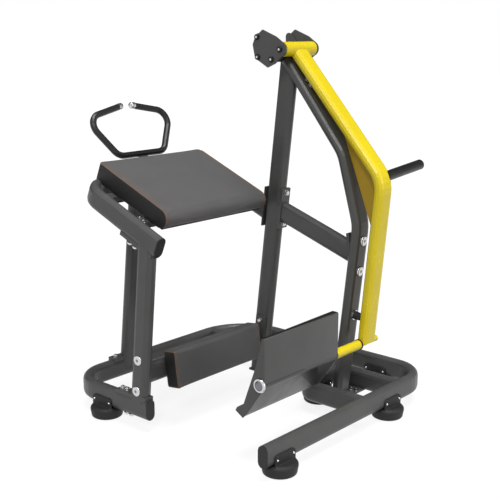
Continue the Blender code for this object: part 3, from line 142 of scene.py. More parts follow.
# %% [markdown]
# The frame is mild steel tube under a charcoal powder coat. The powder is sprayed dry and baked, so it
# flows into a skin with a faint orange peel, a few millimetres from crest to crest. It is satin, not
# glossy: long soft highlights run along the rounded sides. The peel is drawn a little coarse, so that
# it shows at this distance, and the colour wanders by a few per cent, as handled paint does.

# %% Charcoal powder coat
PEEL = 3.5 * MM


def powder_coat(name, light, dark, roughness, peel_depth):
    """Sprayed and baked paint: two close tones, an orange peel and a roughness that wanders."""
    made, tree, shader, place = start_material(name, roughness)
    tone = two_tones(tree, mottle(tree, place, 0.12, 0.0, 1.0), light, dark)
    tree.links.new(tone, shader.inputs["Base Color"])
    gloss = mottle(tree, place, 0.05, roughness - 0.04, roughness + 0.05)
    tree.links.new(gloss, shader.inputs["Roughness"])
    peel = add(tree, "ShaderNodeTexNoise", {"Vector": place, "Scale": 1 / PEEL, "Detail": 2.0})
    bump(tree, shader, peel.outputs["Fac"], peel_depth)
    return made


charcoal_coat = powder_coat("charcoal_powder_coat", "4E4E4D", "494948", 0.34, 0.00005)
handle_coat = powder_coat("black_powder_coat", "1E1E1E", "181818", 0.32, 0.00004)
print("made", charcoal_coat.name, handle_coat.name)

# %% [markdown]
# The swinging arm and its bars wear a yellow powder coat with more gloss and hardly any peel. The gusset
# behind the bend is the same steel under a duller gold-yellow, so it gets its own finish from the same
# function.

# %% Yellow powder coats
yellow_coat = powder_coat("yellow_powder_coat", "E6D01C", "DFC81A", 0.24, 0.00001)
gold_coat = powder_coat("gold_powder_coat", "BC9A24", "B08F20", 0.36, 0.00004)
print("made", yellow_coat.name, gold_coat.name)

# %% [markdown]
# Tube plugs are injection-moulded black plastic with a fine spark texture from the mould. The shoes are
# moulded rubber: duller, and a little dusty. Both are nearly black, and their grain decides how
# the light breaks on them.

# %% Plastic and rubber


def moulded(name, light, dark, roughness, grain, depth):
    """A moulded finish: a fine random grain and a slight change of tone."""
    made, tree, shader, place = start_material(name, roughness)
    tone = two_tones(tree, mottle(tree, place, 0.04, 0.0, 1.0), light, dark)
    tree.links.new(tone, shader.inputs["Base Color"])
    texture = add(tree, "ShaderNodeTexNoise", {"Vector": place, "Scale": 1 / grain, "Detail": 4.0})
    bump(tree, shader, texture.outputs["Fac"], depth)
    return made


plug_plastic = moulded("moulded_black_plastic", "1B1B1C", "161617", 0.42, 1.2 * MM, 0.0001)
shoe_rubber = moulded("moulded_rubber", "1A1A1A", "202020", 0.62, 2.0 * MM, 0.0002)
board_finish = moulded("painted_board", "171717", "131313", 0.60, 1.5 * MM, 0.0001)
print("made", plug_plastic.name, shoe_rubber.name, board_finish.name)

# %% [markdown]
# Nuts, wide caps and grip ends are chrome plated: a metal mirror that is almost smooth. The heads on the
# pivot plates are blackened steel, and the middles of the caps and of the dome are a duller nickel. The
# shaft is ground steel with a fine even grain, and the bushes are sintered bronze, grainy and warm.

# %% Metals


def metal(name, tone, roughness, grain, depth):
    """A bare or plated metal. Metals keep the default IOR, because their colour sets the reflection."""
    made, tree, shader, place = start_material(name, roughness, metallic=1.0, Base_Color=linear(tone))
    gloss = mottle(tree, place, 4 * grain, roughness * 0.7, roughness * 1.4)
    tree.links.new(gloss, shader.inputs["Roughness"])
    texture = add(tree, "ShaderNodeTexNoise", {"Vector": place, "Scale": 1 / grain, "Detail": 2.0})
    bump(tree, shader, texture.outputs["Fac"], depth)
    return made


chrome = metal("chrome_plate", "CBCBCE", 0.12, 6 * MM, 0.00004)
black_oxide = metal("black_oxide", "2E2E30", 0.30, 2 * MM, 0.00003)
satin_nickel = metal("satin_nickel", "7C7C80", 0.34, 2 * MM, 0.00003)
ground_steel = metal("ground_steel", "B4B4B6", 0.28, 0.8 * MM, 0.00003)
bronze = metal("sintered_bronze", "A8813F", 0.38, 1.0 * MM, 0.00006)
print("made", chrome.name, black_oxide.name, satin_nickel.name, ground_steel.name, bronze.name)

# %% [markdown]
# The pads are covered in leatherette: vinyl on a knitted back, embossed with a small pebble grain. A
# pattern of cells gives the pebbles, one every two millimetres or so, and a broad noise lets the colour
# wander a little. The sides of each pad are much darker: partly a darker vinyl, and partly painted shade
# for the shade on the pad's ends. The colour switches at the seam, and the switch reads the object's own X,
# so it stays put in every view.

# %% Leatherette
PEBBLE = 2.2 * MM
PEBBLE_DEPTH = 0.00018


def leatherette(name, light, dark, shaded_side_light, shaded_side_dark, middle_x, seam_half):
    """Pebbled vinyl, in a darker tone beyond the two side seams."""
    made, tree, shader, place = start_material(name, 0.52)
    top = two_tones(tree, mottle(tree, place, 0.10, 0.0, 1.0), light, dark)
    # The side tone is partly a darker vinyl and partly painted shade on the pad's ends.
    side = two_tones(tree, mottle(tree, place, 0.06, 0.0, 1.0), shaded_side_light, shaded_side_dark)
    across = add(tree, "ShaderNodeSeparateXYZ", {"Vector": place}).outputs["X"]
    centred = add(tree, "ShaderNodeMath", {0: across, 1: middle_x}, operation="SUBTRACT").outputs[0]
    out = add(tree, "ShaderNodeMath", {0: centred}, operation="ABSOLUTE").outputs[0]
    beyond = add(tree, "ShaderNodeMath", {0: out, 1: seam_half}, operation="GREATER_THAN").outputs[0]
    mix = add(tree, "ShaderNodeMix", {"Factor": beyond}, data_type="RGBA")
    tree.links.new(top, mix.inputs[6])
    tree.links.new(side, mix.inputs[7])
    tree.links.new(mix.outputs[2], shader.inputs["Base Color"])
    pebbles = add(
        tree,
        "ShaderNodeTexVoronoi",
        {"Vector": place, "Scale": 1 / PEBBLE, "Randomness": 0.9},
        feature="DISTANCE_TO_EDGE",
    )
    round_off = {"Value": pebbles.outputs["Distance"], "From Min": 0.0, "From Max": 0.25}
    height = add(tree, "ShaderNodeMapRange", round_off, interpolation_type="SMOOTHSTEP").outputs["Result"]
    bump(tree, shader, height, PEBBLE_DEPTH)
    return made


# %% [markdown]
# Brown thread closes the seams. It is thick upholstery thread, a little shiny, so its strands only show
# as a slight change of tone along it.

# %% Thread
thread, tree, shader, place = start_material("brown_thread", 0.55)
thread_tone = two_tones(tree, mottle(tree, place, 3 * MM, 0.0, 1.0), "80614F", "664B3A")
tree.links.new(thread_tone, shader.inputs["Base Color"])
print("made", thread.name)

# %% [markdown]
# Each CAD node keeps its shape and gets the finish that its material slot names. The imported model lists
# the slots, so one table from slot to finish dresses them all.

# %% Dress the CAD nodes
FINISHES = {
    "frame_paint": charcoal_coat,
    "arm_paint": yellow_coat,
    "gusset_paint": gold_coat,
    "plug_plastic": plug_plastic,
    "shoe_rubber": shoe_rubber,
    "pad_leatherette": board_finish,
    "pad_board": board_finish,
    "grip_black": handle_coat,
    "bolt_chrome": chrome,
    "shaft_steel": ground_steel,
    "bush_bronze": bronze,
}
slots_seen = set()
for node_name, node in nodes.items():
    old = node.material_slots[0].material.name
    finish = next((FINISHES[slot] for slot in FINISHES if old.startswith(slot)), None)
    slots_seen.add(old)
    if finish is None:
        print("no finish for", node_name, old)
        continue
    for slot in node.material_slots:
        slot.material = finish
print("dressed", len(nodes), "nodes; slots", sorted(slots_seen))

# %% [markdown]
# Modelling by hand means selecting something and then using a tool on it. These helpers do the selecting:
# one makes a single object active, the other picks faces or edges in edit mode by a test in code.

# %% Selection helpers


def only(*objects):
    """Selects these objects alone. The last one becomes active."""
    bpy.ops.object.select_all(action="DESELECT")
    for obj in objects:
        obj.select_set(True)
    bpy.context.view_layer.objects.active = objects[-1]


def pick(kind, test):
    """In edit mode, selects each VERT, EDGE or FACE that passes the test, and nothing else."""
    bpy.ops.mesh.select_mode(type=kind)
    bpy.ops.mesh.select_all(action="DESELECT")
    mesh = bpy.context.object.data
    work = bmesh.from_edit_mesh(mesh)
    for part in {"VERT": work.verts, "EDGE": work.edges, "FACE": work.faces}[kind]:
        part.select_set(test(part))
    work.select_flush_mode()
    bmesh.update_edit_mesh(mesh)


def start_piece(name):
    """Names the primitive that was just added and opens it in edit mode."""
    made = bpy.context.object
    made.name = name
    made.data.name = name
    bpy.ops.object.mode_set(mode="EDIT")
    return made


def finish_piece(made, material, angle=40.0):
    """Closes edit mode, applies what is left of its place, and smooths its shading."""
    if bpy.context.object.mode == "EDIT":
        bpy.ops.object.mode_set(mode="OBJECT")
    only(made)
    bpy.ops.object.transform_apply(location=True, rotation=True, scale=True)
    bpy.ops.object.shade_smooth_by_angle(angle=math.radians(angle))
    made.data.materials.clear()
    made.data.materials.append(material)
    return made


# %% [markdown]
# A pad starts as a block of foam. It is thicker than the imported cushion, because the cover reaches over
# the edge of the board. The long near edge of the chest pad is rounded over its full thickness, the
# corners that show are rounded in plan, and every other edge gets a small bevel, as a cover does when it
# is pulled over foam.

# %% Foam blocks


def foam_block(name, size, nose, corner, edge):
    """A foam block centred on the origin, its face up and its nose, if it has one, towards -Y."""
    width, length, thick = size
    bpy.ops.object.select_all(action="DESELECT")
    bpy.ops.mesh.primitive_cube_add(size=1.0, scale=size)
    bpy.ops.object.transform_apply(scale=True)
    foam = start_piece(name)
    near = -0.49 * length

    def along_x(e):
        return abs(e.verts[0].co.x - e.verts[1].co.x) > width / 2

    def along_z(e):
        return abs(e.verts[0].co.z - e.verts[1].co.z) > thick / 2

    if nose:
        pick("EDGE", lambda e: along_x(e) and e.verts[0].co.y < near)
        bpy.ops.mesh.bevel(offset=thick * 0.499, segments=12)
    pick("EDGE", lambda e: along_z(e) and (e.verts[0].co.y > 0 or not nose))
    bpy.ops.mesh.bevel(offset=corner, segments=6)
    bpy.ops.object.mode_set(mode="OBJECT")
    only(foam)
    bpy.ops.object.modifier_add(type="BEVEL")
    cover = foam.modifiers[-1]
    cover.width = edge
    cover.segments = 4
    cover.limit_method = "ANGLE"
    cover.angle_limit = math.radians(35)
    bpy.ops.object.modifier_apply(modifier=cover.name)
    print(name, "block", [round(side, 3) for side in size])
    return foam


# %% [markdown]
# A cover is stretched over its foam, so it is tight and a little swollen. A cloth simulation with inside
# pressure gives that: the block is remeshed into even cells, its underside and side panels are
# held, and the cover is blown up for twenty frames. No point may move more than three millimetres.

# %% Stretch the cover
CELL = 6 * MM
SIM_FRAMES = 20
PRESSURE = 4.0
PANEL_IN = 4 * MM


def crown_face(pad, size, crown):
    """Raises the face in the middle, as foam that is glued thicker there."""
    for vert in pad.data.vertices:
        u, v = 2 * vert.co.x / size[0], 2 * vert.co.y / size[1]
        rise = crown * max(0.0, 1 - u * u) * max(0.0, 1 - v * v)
        vert.co.z += rise * max(0.0, min(1.0, 0.5 + vert.co.z / size[2]))


def stretch_cover(pad, size, most):
    """Blows the cover up with a cloth simulation. Underside and side panels keep their place."""
    rest = [vert.co.copy() for vert in pad.data.vertices]
    held = pad.vertex_groups.new(name="held")
    floor = -size[2] / 2 + 1 * MM
    wall = size[0] / 2 - PANEL_IN
    held.add([i for i, co in enumerate(rest) if co.z < floor or abs(co.x) > wall], 1.0, "REPLACE")
    only(pad)
    bpy.ops.object.modifier_add(type="CLOTH")
    cloth = pad.modifiers[-1]
    cloth.settings.vertex_group_mass = held.name
    cloth.settings.use_pressure = True
    cloth.settings.uniform_pressure_force = PRESSURE
    cloth.settings.effector_weights.gravity = 0.0
    cloth.point_cache.frame_start = 1
    cloth.point_cache.frame_end = SIM_FRAMES
    for step in range(1, SIM_FRAMES + 1):
        scene.frame_set(step)
    bpy.ops.object.modifier_apply(modifier=cloth.name)
    scene.frame_set(1)
    moved = []
    for vert, start in zip(pad.data.vertices, rest):
        away = vert.co - start
        if away.length > most:
            away *= most / away.length
        vert.co = start + away
        moved.append(away.length)
    pad.vertex_groups.clear()
    print(pad.name, "cover moved up to", round(max(moved) * 1000, 1), "mm")


def sewn_pad(name, size, nose, corner, edge, crown, most, place, tilt, body, replaced, material):
    """The whole making of one pad, from foam block to its place on the machine."""
    pad = foam_block(name, size, nose, corner, edge)
    pad.data.remesh_voxel_size = CELL
    only(pad)
    bpy.ops.object.voxel_remesh()
    crown_face(pad, size, crown)
    stretch_cover(pad, size, most)
    bpy.ops.object.modifier_add(type="SUBSURF")
    smooth = pad.modifiers[-1]
    smooth.levels = smooth.render_levels = 1
    bpy.ops.object.modifier_apply(modifier=smooth.name)
    pad.location = place
    pad.rotation_euler = tilt
    finish_piece(pad, material, 180.0)
    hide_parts(replaced)
    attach(pad, body)
    low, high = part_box(replaced)
    print(name, "faces", len(pad.data.polygons), "CAD box", tuple(low), tuple(high))
    return pad


# %% [markdown]
# The chest pad lies on the tilted U of the frame: its face climbs away from the user, and its round nose
# is towards them. Its middle and tilt come from the frame's own measures.

# %% Chest pad
CHEST_SIZE = (0.665, 0.497, 0.087)
CHEST_MIDDLE = Vector((-0.2100, 0.2499, 1.0682))
CHEST_TILT = Euler((math.radians(22.5), 0.0, 0.0))
CHEST_SHIFT = Vector((0.0, -0.004, -0.0030))
SIDE_SEAM_IN = 3 * MM
chest_finish = leatherette(
    "chest_leatherette",
    "595858",
    "555454",
    "1A1A1A",
    "161616",
    CHEST_MIDDLE.x,
    CHEST_SIZE[0] / 2 - SIDE_SEAM_IN,
)
chest_pad = sewn_pad(
    "chest_pad_cover",
    CHEST_SIZE,
    nose=True,
    corner=0.030,
    edge=0.006,
    crown=0.003,
    most=0.003,
    place=CHEST_MIDDLE + CHEST_TILT.to_matrix() @ CHEST_SHIFT,
    tilt=CHEST_TILT,
    body="frame",
    replaced="chest_pad_cushion",
    material=chest_finish,
)

# %% [markdown]
# The knee pad is a plain upholstered block that leans back a little against its board. It is made in the
# same way, without a nose, and all four of its corners are rounded.

# %% Knee pad
KNEE_SIZE = (0.584, 0.176, 0.074)
KNEE_MIDDLE = Vector((-0.1956, 0.05915, 0.27789))
KNEE_TILT = Euler((math.radians(82.0), 0.0, 0.0))
KNEE_SHIFT = Vector((0.0, -0.005, -0.002))
# The knee pad's vinyl is a little darker than the chest pad's: painted shade, for the shade it lies in under
# the other parts.
knee_finish = leatherette(
    "knee_leatherette",
    "545353",
    "4F4E4E",
    "1B1B1B",
    "161616",
    KNEE_MIDDLE.x,
    KNEE_SIZE[0] / 2 - SIDE_SEAM_IN,
)
knee_pad = sewn_pad(
    "knee_pad_cover",
    KNEE_SIZE,
    nose=False,
    corner=0.012,
    edge=0.007,
    crown=0.003,
    most=0.0025,
    place=KNEE_MIDDLE + KNEE_TILT.to_matrix() @ KNEE_SHIFT,
    tilt=KNEE_TILT,
    body="frame",
    replaced="knee_pad_cushion",
    material=knee_finish,
)

# %% [markdown]
# A seam runs round each end of a pad, where the face meets the side panel. Topstitching runs beside it:
# rows one and two centimetres in on the chest pad, and one centimetre in on the knee pad. To find where
# they lie, a copy of the pad is cut with a plane and only the cut is kept: it is a ring that follows the
# stretched cover exactly.

# %% Rings on the cover


def ring_on(pad, x):
    """The ring of points where the plane at this X cuts the pad, and a tree to search the cover with."""
    only(pad)
    bpy.ops.object.duplicate()
    copy = bpy.context.object
    copy.parent = None
    bpy.ops.object.mode_set(mode="EDIT")
    bpy.ops.mesh.select_all(action="SELECT")
    bpy.ops.mesh.bisect(plane_co=(x, 0, 0), plane_no=(1, 0, 0), clear_inner=True, clear_outer=True)
    bpy.ops.object.mode_set(mode="OBJECT")
    only(copy)
    bpy.ops.object.convert(target="CURVE")
    rings = [[spot.co.xyz for spot in spline.points] for spline in copy.data.splines]
    bpy.data.objects.remove(copy)
    ring = max(rings, key=len)
    tree = BVHTree.FromPolygons([v.co for v in pad.data.vertices], [p.vertices for p in pad.data.polygons])
    return ring, tree


def even_steps(ring, step):
    """The same ring with points an equal distance apart."""
    closed = ring + ring[:1]
    lengths = [(b - a).length for a, b in zip(closed, closed[1:])]
    count = max(8, round(sum(lengths) / step))
    pace = sum(lengths) / count
    points, walked, want = [], 0.0, 0.0
    for start, end, length in zip(closed, closed[1:], lengths):
        while length > 0 and want <= walked + length and len(points) < count:
            points.append(start.lerp(end, (want - walked) / length))
            want += pace
        walked += length
    return points


# %% [markdown]
# The seam itself is a fine welt: a cord that lies half in the cover. Each stitch is its own short thread
# that dips into the vinyl at both ends. Both stop where the cover turns under, towards the board. Real
# thread is less than a millimetre thick and would not show here, so this one is coarser: 2.4 mm across.

# %% Sew the seams
WELT_R = 1.7 * MM
WELT_STEP = 4 * MM
THREAD_R = 1.2 * MM
STITCH_LIFTS = (-0.4, 0.5, 0.5, -0.4)
PITCH = 7.0 * MM
STITCH_ROWS_IN = (0.010, 0.020)
UNDER_DOT = 0.5


def tubes(name, paths, radius, material, body, sides=1):
    """One object of round cords along these paths."""
    curve = bpy.data.curves.new(name, "CURVE")
    curve.dimensions = "3D"
    curve.bevel_depth = radius
    curve.bevel_resolution = sides
    curve.use_fill_caps = True
    for path in paths:
        spline = curve.splines.new("POLY")
        spline.points.add(len(path) - 1)
        for spot, point in zip(spline.points, path):
            spot.co = (*point, 1.0)
    obj = bpy.data.objects.new(name, curve)
    scene.collection.objects.link(obj)
    only(obj)
    bpy.ops.object.convert(target="MESH")
    obj = bpy.context.object
    finish_piece(obj, material, 60.0)
    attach(obj, body)


def off_underside(ring, surface, under):
    """The run of the ring that looks 60 degrees or more away from the pad's board: an open path."""
    shown = [surface.find_nearest(point)[1].dot(under) < UNDER_DOT for point in ring]
    first = next(i for i in range(len(ring)) if shown[i] and not shown[i - 1])
    turned_ring = ring[first:] + ring[:first]
    turned_shown = shown[first:] + shown[:first]
    count = turned_shown.index(False)
    return turned_ring[:count]


def sew(pad, middle_x, half, rows, body, tag, tilt):
    """Welts at both ends of a pad, and the rows of stitches beside them."""
    under = tilt.to_matrix() @ Vector((0, 0, -1))
    welts, stitches = [], []
    for side in (-1, 1):
        ring, surface = ring_on(pad, middle_x + side * (half - SIDE_SEAM_IN))
        welts.append(off_underside(even_steps(ring, WELT_STEP), surface, under))
        for inset in rows:
            ring, surface = ring_on(pad, middle_x + side * (half - SIDE_SEAM_IN - inset))
            row = off_underside(even_steps(ring, PITCH / 4), surface, under)
            for i in range(0, len(row) - 3, 4):
                path = []
                for point, lift in zip(row[i : i + 4], STITCH_LIFTS):
                    out = surface.find_nearest(point)[1]
                    path.append(point + out * lift * THREAD_R)
                stitches.append(path)
    tubes(tag + "_welts", welts, WELT_R, thread, body, sides=2)
    tubes(tag + "_stitches", stitches, THREAD_R, thread, body)
    print(tag, "stitches", len(stitches))


sew(chest_pad, CHEST_MIDDLE.x, CHEST_SIZE[0] / 2, STITCH_ROWS_IN, "frame", "chest_pad", CHEST_TILT)
sew(knee_pad, KNEE_MIDDLE.x, KNEE_SIZE[0] / 2, STITCH_ROWS_IN[:1], "frame", "knee_pad", KNEE_TILT)

# %% [markdown]
# Two kinds of fastener hold the frame. A button head is a cylinder whose rim is rounded over, with a
# hexagon let into its top. A nut stands on a washer with the end of its bolt through it. The CAD plates
# already carry plain heads at some of these places, so the ones made here are a little larger and
# cover them.

# %% A button head and a nut
HEAD_R = 13.5 * MM
HEAD_H = 8.7 * MM
SOCKET_R = 6.2 * MM
SOCKET_DEPTH = 0.5 * MM
# The socket is only half a millimetre deep; its floor is near black, painted shade that makes it read deep.
socket_shade, tree, shader, place = start_material("socket_shadow", 0.7)
socket_tone = two_tones(tree, mottle(tree, place, 2 * MM, 0.0, 1.0), "121212", "1A1A1A")
tree.links.new(socket_tone, shader.inputs["Base Color"])


def button_head(name, radius, height, socket):
    """A head that stands on the plane z = 0 and points up. Its socket is its second material."""
    bpy.ops.object.select_all(action="DESELECT")
    bpy.ops.mesh.primitive_cylinder_add(vertices=32, radius=radius, depth=height, location=(0, 0, height / 2))
    bpy.ops.object.transform_apply(location=True)
    head = start_piece(name)
    pick("EDGE", lambda e: all(v.co.z > height * 0.9 for v in e.verts))
    bpy.ops.mesh.bevel(offset=height * 0.55, segments=5)
    bpy.ops.object.mode_set(mode="OBJECT")
    bpy.ops.object.select_all(action="DESELECT")
    depth = SOCKET_DEPTH * 2
    bpy.ops.mesh.primitive_cylinder_add(vertices=6, radius=socket, depth=depth, location=(0, 0, height))
    tool = bpy.context.object
    only(head)
    bpy.ops.object.modifier_add(type="BOOLEAN")
    cut = head.modifiers[-1]
    cut.object = tool
    cut.solver = "EXACT"
    bpy.ops.object.modifier_apply(modifier=cut.name)
    bpy.data.objects.remove(tool)
    finish_piece(head, chrome, 30.0)
    head.data.materials.append(socket_shade)
    for face in head.data.polygons:
        low = face.center.z < height - SOCKET_DEPTH * 0.9
        face.material_index = 1 if low and face.normal.z > 0.9 else 0
    return head


# Sides, radius, underside and top
WASHER = (32, 14.2 * MM, 0, 2 * MM)
NUT = (6, 12 * MM, 1 * MM, 10.5 * MM)
BOLT_END = (20, 6 * MM, 5 * MM, 14 * MM)
NUT_CHAMFER = 0.8 * MM


def hex_nut(name):
    """A washer, a nut and the end of its bolt, standing on the plane z = 0."""
    parts = []
    for sides, radius, low, high in (WASHER, NUT, BOLT_END):
        bpy.ops.object.select_all(action="DESELECT")
        bpy.ops.mesh.primitive_cylinder_add(
            vertices=sides, radius=radius, depth=high - low, location=(0, 0, (low + high) / 2)
        )
        bpy.ops.object.transform_apply(location=True)
        part = start_piece(name)
        pick("EDGE", lambda e: all(v.co.z > high - 0.1 * MM for v in e.verts))
        bpy.ops.mesh.bevel(offset=NUT_CHAMFER, segments=2)
        bpy.ops.object.mode_set(mode="OBJECT")
        parts.append(part)
    only(*parts)
    bpy.ops.object.join()
    nut = bpy.context.object
    nut.name = name
    return finish_piece(nut, chrome, 30.0)


def copies(pattern, name, places, body):
    """A copy of the pattern at each (point, direction), as one object with its own mesh."""
    made = []
    for point, direction in places:
        only(pattern)
        bpy.ops.object.duplicate()
        copy = bpy.context.object
        copy.location = point
        copy.rotation_euler = Vector(direction).to_track_quat("Z", "Y").to_euler()
        made.append(copy)
    only(*made)
    bpy.ops.object.transform_apply(location=True, rotation=True, scale=True)
    if len(made) > 1:
        bpy.ops.object.join()
    joined = bpy.context.object
    joined.name = name
    joined.data.name = name
    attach(joined, body)
    print(name, len(places))
    return joined


# %% [markdown]
# The places of the bolts are measures of the machine: along the plates of the pivot head, beside the feet
# of the posts, on the flanges of the beams and on the frame of the chest pad. The heads on the pivot
# plates are black, with a chrome socket that is a painted glint in their centre, and all the nuts are chrome.

# %% Bolt the frame together
DOWN_OUT = (0.0, 0.38268, -0.92388)
MEMBER_UP = (0.0, -0.38268, 0.92388)
LEAN_UP = (0.0, 0.99312, 0.11709)
LEAN_BACK = (0.0, -0.99312, -0.11709)
REAR_OUT = (0.0, -0.77755, 0.62882)
REAR_LOW_OUT = (0.0, -0.99375, -0.11159)
LEFT, RIGHT, UP, DOWN = (-1.0, 0.0, 0.0), (1.0, 0.0, 0.0), (0.0, 0.0, 1.0), (0.0, 0.0, -1.0)
PLATE_YZ = ((0.0505, 1.755), (0.0465, 1.663), (-0.0375, 1.654))
BOLTS = {
    "knee_beam_bolts": ("nut", [((0.1892, 0.10589, 0.3405), LEFT), ((0.1892, 0.12369, 0.1895), LEFT)]),
    "rear_tube_upper_bolts": (
        "nut",
        [((0.2225, -0.15185, 1.56072), REAR_OUT), ((0.2225, -0.17207, 1.53572), REAR_OUT)],
    ),
    "pad_arm_bolts": ("nut", [((0.2225, 0.08506, 1.0125), LEAN_UP), ((0.2225, 0.10333, 0.8575), LEAN_UP)]),
    "beam_bolts": ("nut", [((0.2225, -0.03175, 1.0125), LEAN_BACK), ((0.2225, -0.01347, 0.8575), LEAN_BACK)]),
    "post_foot_bolts": ("nut", [((-0.6025, 0.2315, 0.166), UP), ((-0.6025, 0.2635, 0.166), UP)]),
    "post_foot_ends": ("nut", [((-0.6025, 0.2080, 0.0562), DOWN), ((-0.6025, 0.2400, 0.0562), DOWN)]),
    "post_strip_bolts": (
        "nut",
        [((-0.6170, 0.16640, 0.87890), DOWN_OUT), ((-0.6170, 0.13236, 0.86480), DOWN_OUT)],
    ),
    "pad_member_bolts": (
        "nut",
        [((-0.5720, 0.1535, 0.9773), MEMBER_UP), ((-0.5720, 0.1306, 0.9678), MEMBER_UP)],
    ),
    "rear_post_bolts": ("nut", [((-0.3375, 0.6225, 0.166), UP), ((-0.1775, 0.6225, 0.166), UP)]),
    "rear_plate_bolts": ("nut", [((0.3025, -0.4175, 0.066), UP), ((0.3025, -0.3875, 0.066), UP)]),
    "head_bolts_left": ("dark", [((0.0975, y, z), LEFT) for y, z in PLATE_YZ]),
    "head_bolts_right": ("dark", [((0.3475, y, z), RIGHT) for y, z in PLATE_YZ]),
    "head_nuts_left": ("nut", [((0.1075, y, z), RIGHT) for y, z in PLATE_YZ]),
}
dark_pattern = button_head("dark_button_head", HEAD_R, HEAD_H, SOCKET_R)
dark_pattern.data.materials[0] = black_oxide
# The socket of the black heads is chrome: a painted glint that stands for the highlight at their centre.
dark_pattern.data.materials[1] = chrome
nut_pattern = hex_nut("hex_nut")
PATTERNS = {"dark": (dark_pattern, "grip_black"), "nut": (nut_pattern, "bolt_chrome")}
for bolt_name, (kind, places) in BOLTS.items():
    pattern, slot = PATTERNS[kind]
    copies(pattern, bolt_name, places, "frame")

# %% [markdown]
# The bolts at the pivot, on the post and on the bent tube are nodes of their own in the model. Heads stand
# for them at the same places: black ones at the pivot, and wide chrome caps on the post and the tube.

# %% Bolts that have nodes
CAP_R = 23.5 * MM
CAP_H = 8.6 * MM
CAP_SOCKET_R = SOCKET_R * 1.3
NODE_BOLTS = {
    "post_cap_bolt_upper": ((-0.6275, 0.12396, 0.3405), LEFT),
    "post_cap_bolt_lower": ((-0.6275, 0.13913, 0.1895), LEFT),
    "rear_cap_bolt_upper": ((0.2225, -0.4916, 0.84021), REAR_LOW_OUT),
    "rear_cap_bolt_lower": ((0.2225, -0.47509, 0.69321), REAR_LOW_OUT),
    "pivot_bolt_left": ((0.0975, -0.0875, 1.7), LEFT),
    "pivot_bolt_right": ((0.3475, -0.0875, 1.7), RIGHT),
}
cap_pattern = button_head("cap_head", CAP_R, CAP_H, CAP_SOCKET_R)
cap_pattern.data.materials[1] = satin_nickel
for node_name, place_and_way in NODE_BOLTS.items():
    dark = node_name.startswith("pivot")
    pattern, slot = (dark_pattern, "grip_black") if dark else (cap_pattern, "bolt_chrome")
    head = copies(pattern, node_name + "_head", [place_and_way], "frame")
    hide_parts(node_name)
for pattern in (dark_pattern, nut_pattern, cap_pattern):
    bpy.data.objects.remove(pattern)

# %% [markdown]
# A rubber shoe is one moulding: a tapered disc with a tongue on each side of the tube. Disc and tongues
# are modelled apart and joined, and a remesh with a little smoothing melts them into each other.

# %% The form of a shoe
SHOE_R = 82 * MM
SHOE_TAPER = 0.88
SHOE_DISC = 56 * MM
TONGUE_W = 130 * MM
TONGUE_T = 7 * MM
TONGUE_LOW = 30 * MM
TONGUE_TOP = 103 * MM
TONGUE_CORNER = 17 * MM
SOLE_ROUND = 9 * MM
SHOULDER_ROUND = 20 * MM
TUBE_SIDE = 25.3 * MM
SHOE_CELL = 2.5 * MM
SHOE_SMOOTHING = 5


def shoe_form(name):
    """A rubber shoe under a tube that runs along X."""
    bpy.ops.object.select_all(action="DESELECT")
    middle = (0, 0, SHOE_DISC / 2)
    bpy.ops.mesh.primitive_cylinder_add(vertices=64, radius=SHOE_R, depth=SHOE_DISC, location=middle)
    bpy.ops.object.transform_apply(location=True)
    disc = start_piece(name)
    pick("VERT", lambda v: v.co.z < 1 * MM)
    bpy.ops.transform.resize(value=(SHOE_TAPER, SHOE_TAPER, 1))
    pick("EDGE", lambda e: all(v.co.z < 1 * MM for v in e.verts))
    bpy.ops.mesh.bevel(offset=SOLE_ROUND, segments=4)
    pick("EDGE", lambda e: all(v.co.z > SHOE_DISC - 1 * MM for v in e.verts))
    bpy.ops.mesh.bevel(offset=SHOULDER_ROUND, segments=6)
    bpy.ops.object.mode_set(mode="OBJECT")
    parts = [disc]
    low = TONGUE_LOW
    for side in (-1, 1):
        bpy.ops.object.select_all(action="DESELECT")
        bpy.ops.mesh.primitive_cube_add(
            size=1.0,
            location=(0, side * (TUBE_SIDE + TONGUE_T / 2), (low + TONGUE_TOP) / 2),
            scale=(TONGUE_W, TONGUE_T, TONGUE_TOP - low),
        )
        bpy.ops.object.transform_apply(location=True, scale=True)
        tongue = start_piece(name)

        def top_corner(e):
            across = abs(e.verts[0].co.y - e.verts[1].co.y) > TONGUE_T / 2
            return across and all(v.co.z > TONGUE_TOP - 1 * MM for v in e.verts)

        pick("EDGE", top_corner)
        bpy.ops.mesh.bevel(offset=TONGUE_CORNER, segments=6)
        bpy.ops.object.mode_set(mode="OBJECT")
        parts.append(tongue)
    only(*parts)
    bpy.ops.object.join()
    shoe = bpy.context.object
    shoe.data.remesh_voxel_size = SHOE_CELL
    bpy.ops.object.voxel_remesh()
    bpy.ops.object.modifier_add(type="SMOOTH")
    soft = shoe.modifiers[-1]
    soft.factor = 0.5
    soft.iterations = SHOE_SMOOTHING
    bpy.ops.object.modifier_apply(modifier=soft.name)
    return finish_piece(shoe, shoe_rubber, 180.0)


# %% [markdown]
# Small bright rivets hold the shoes to the tubes, two on each side. They are low domes: half a
# sphere, flattened. One shoe and one rivet are made, and both are copied to all six feet.

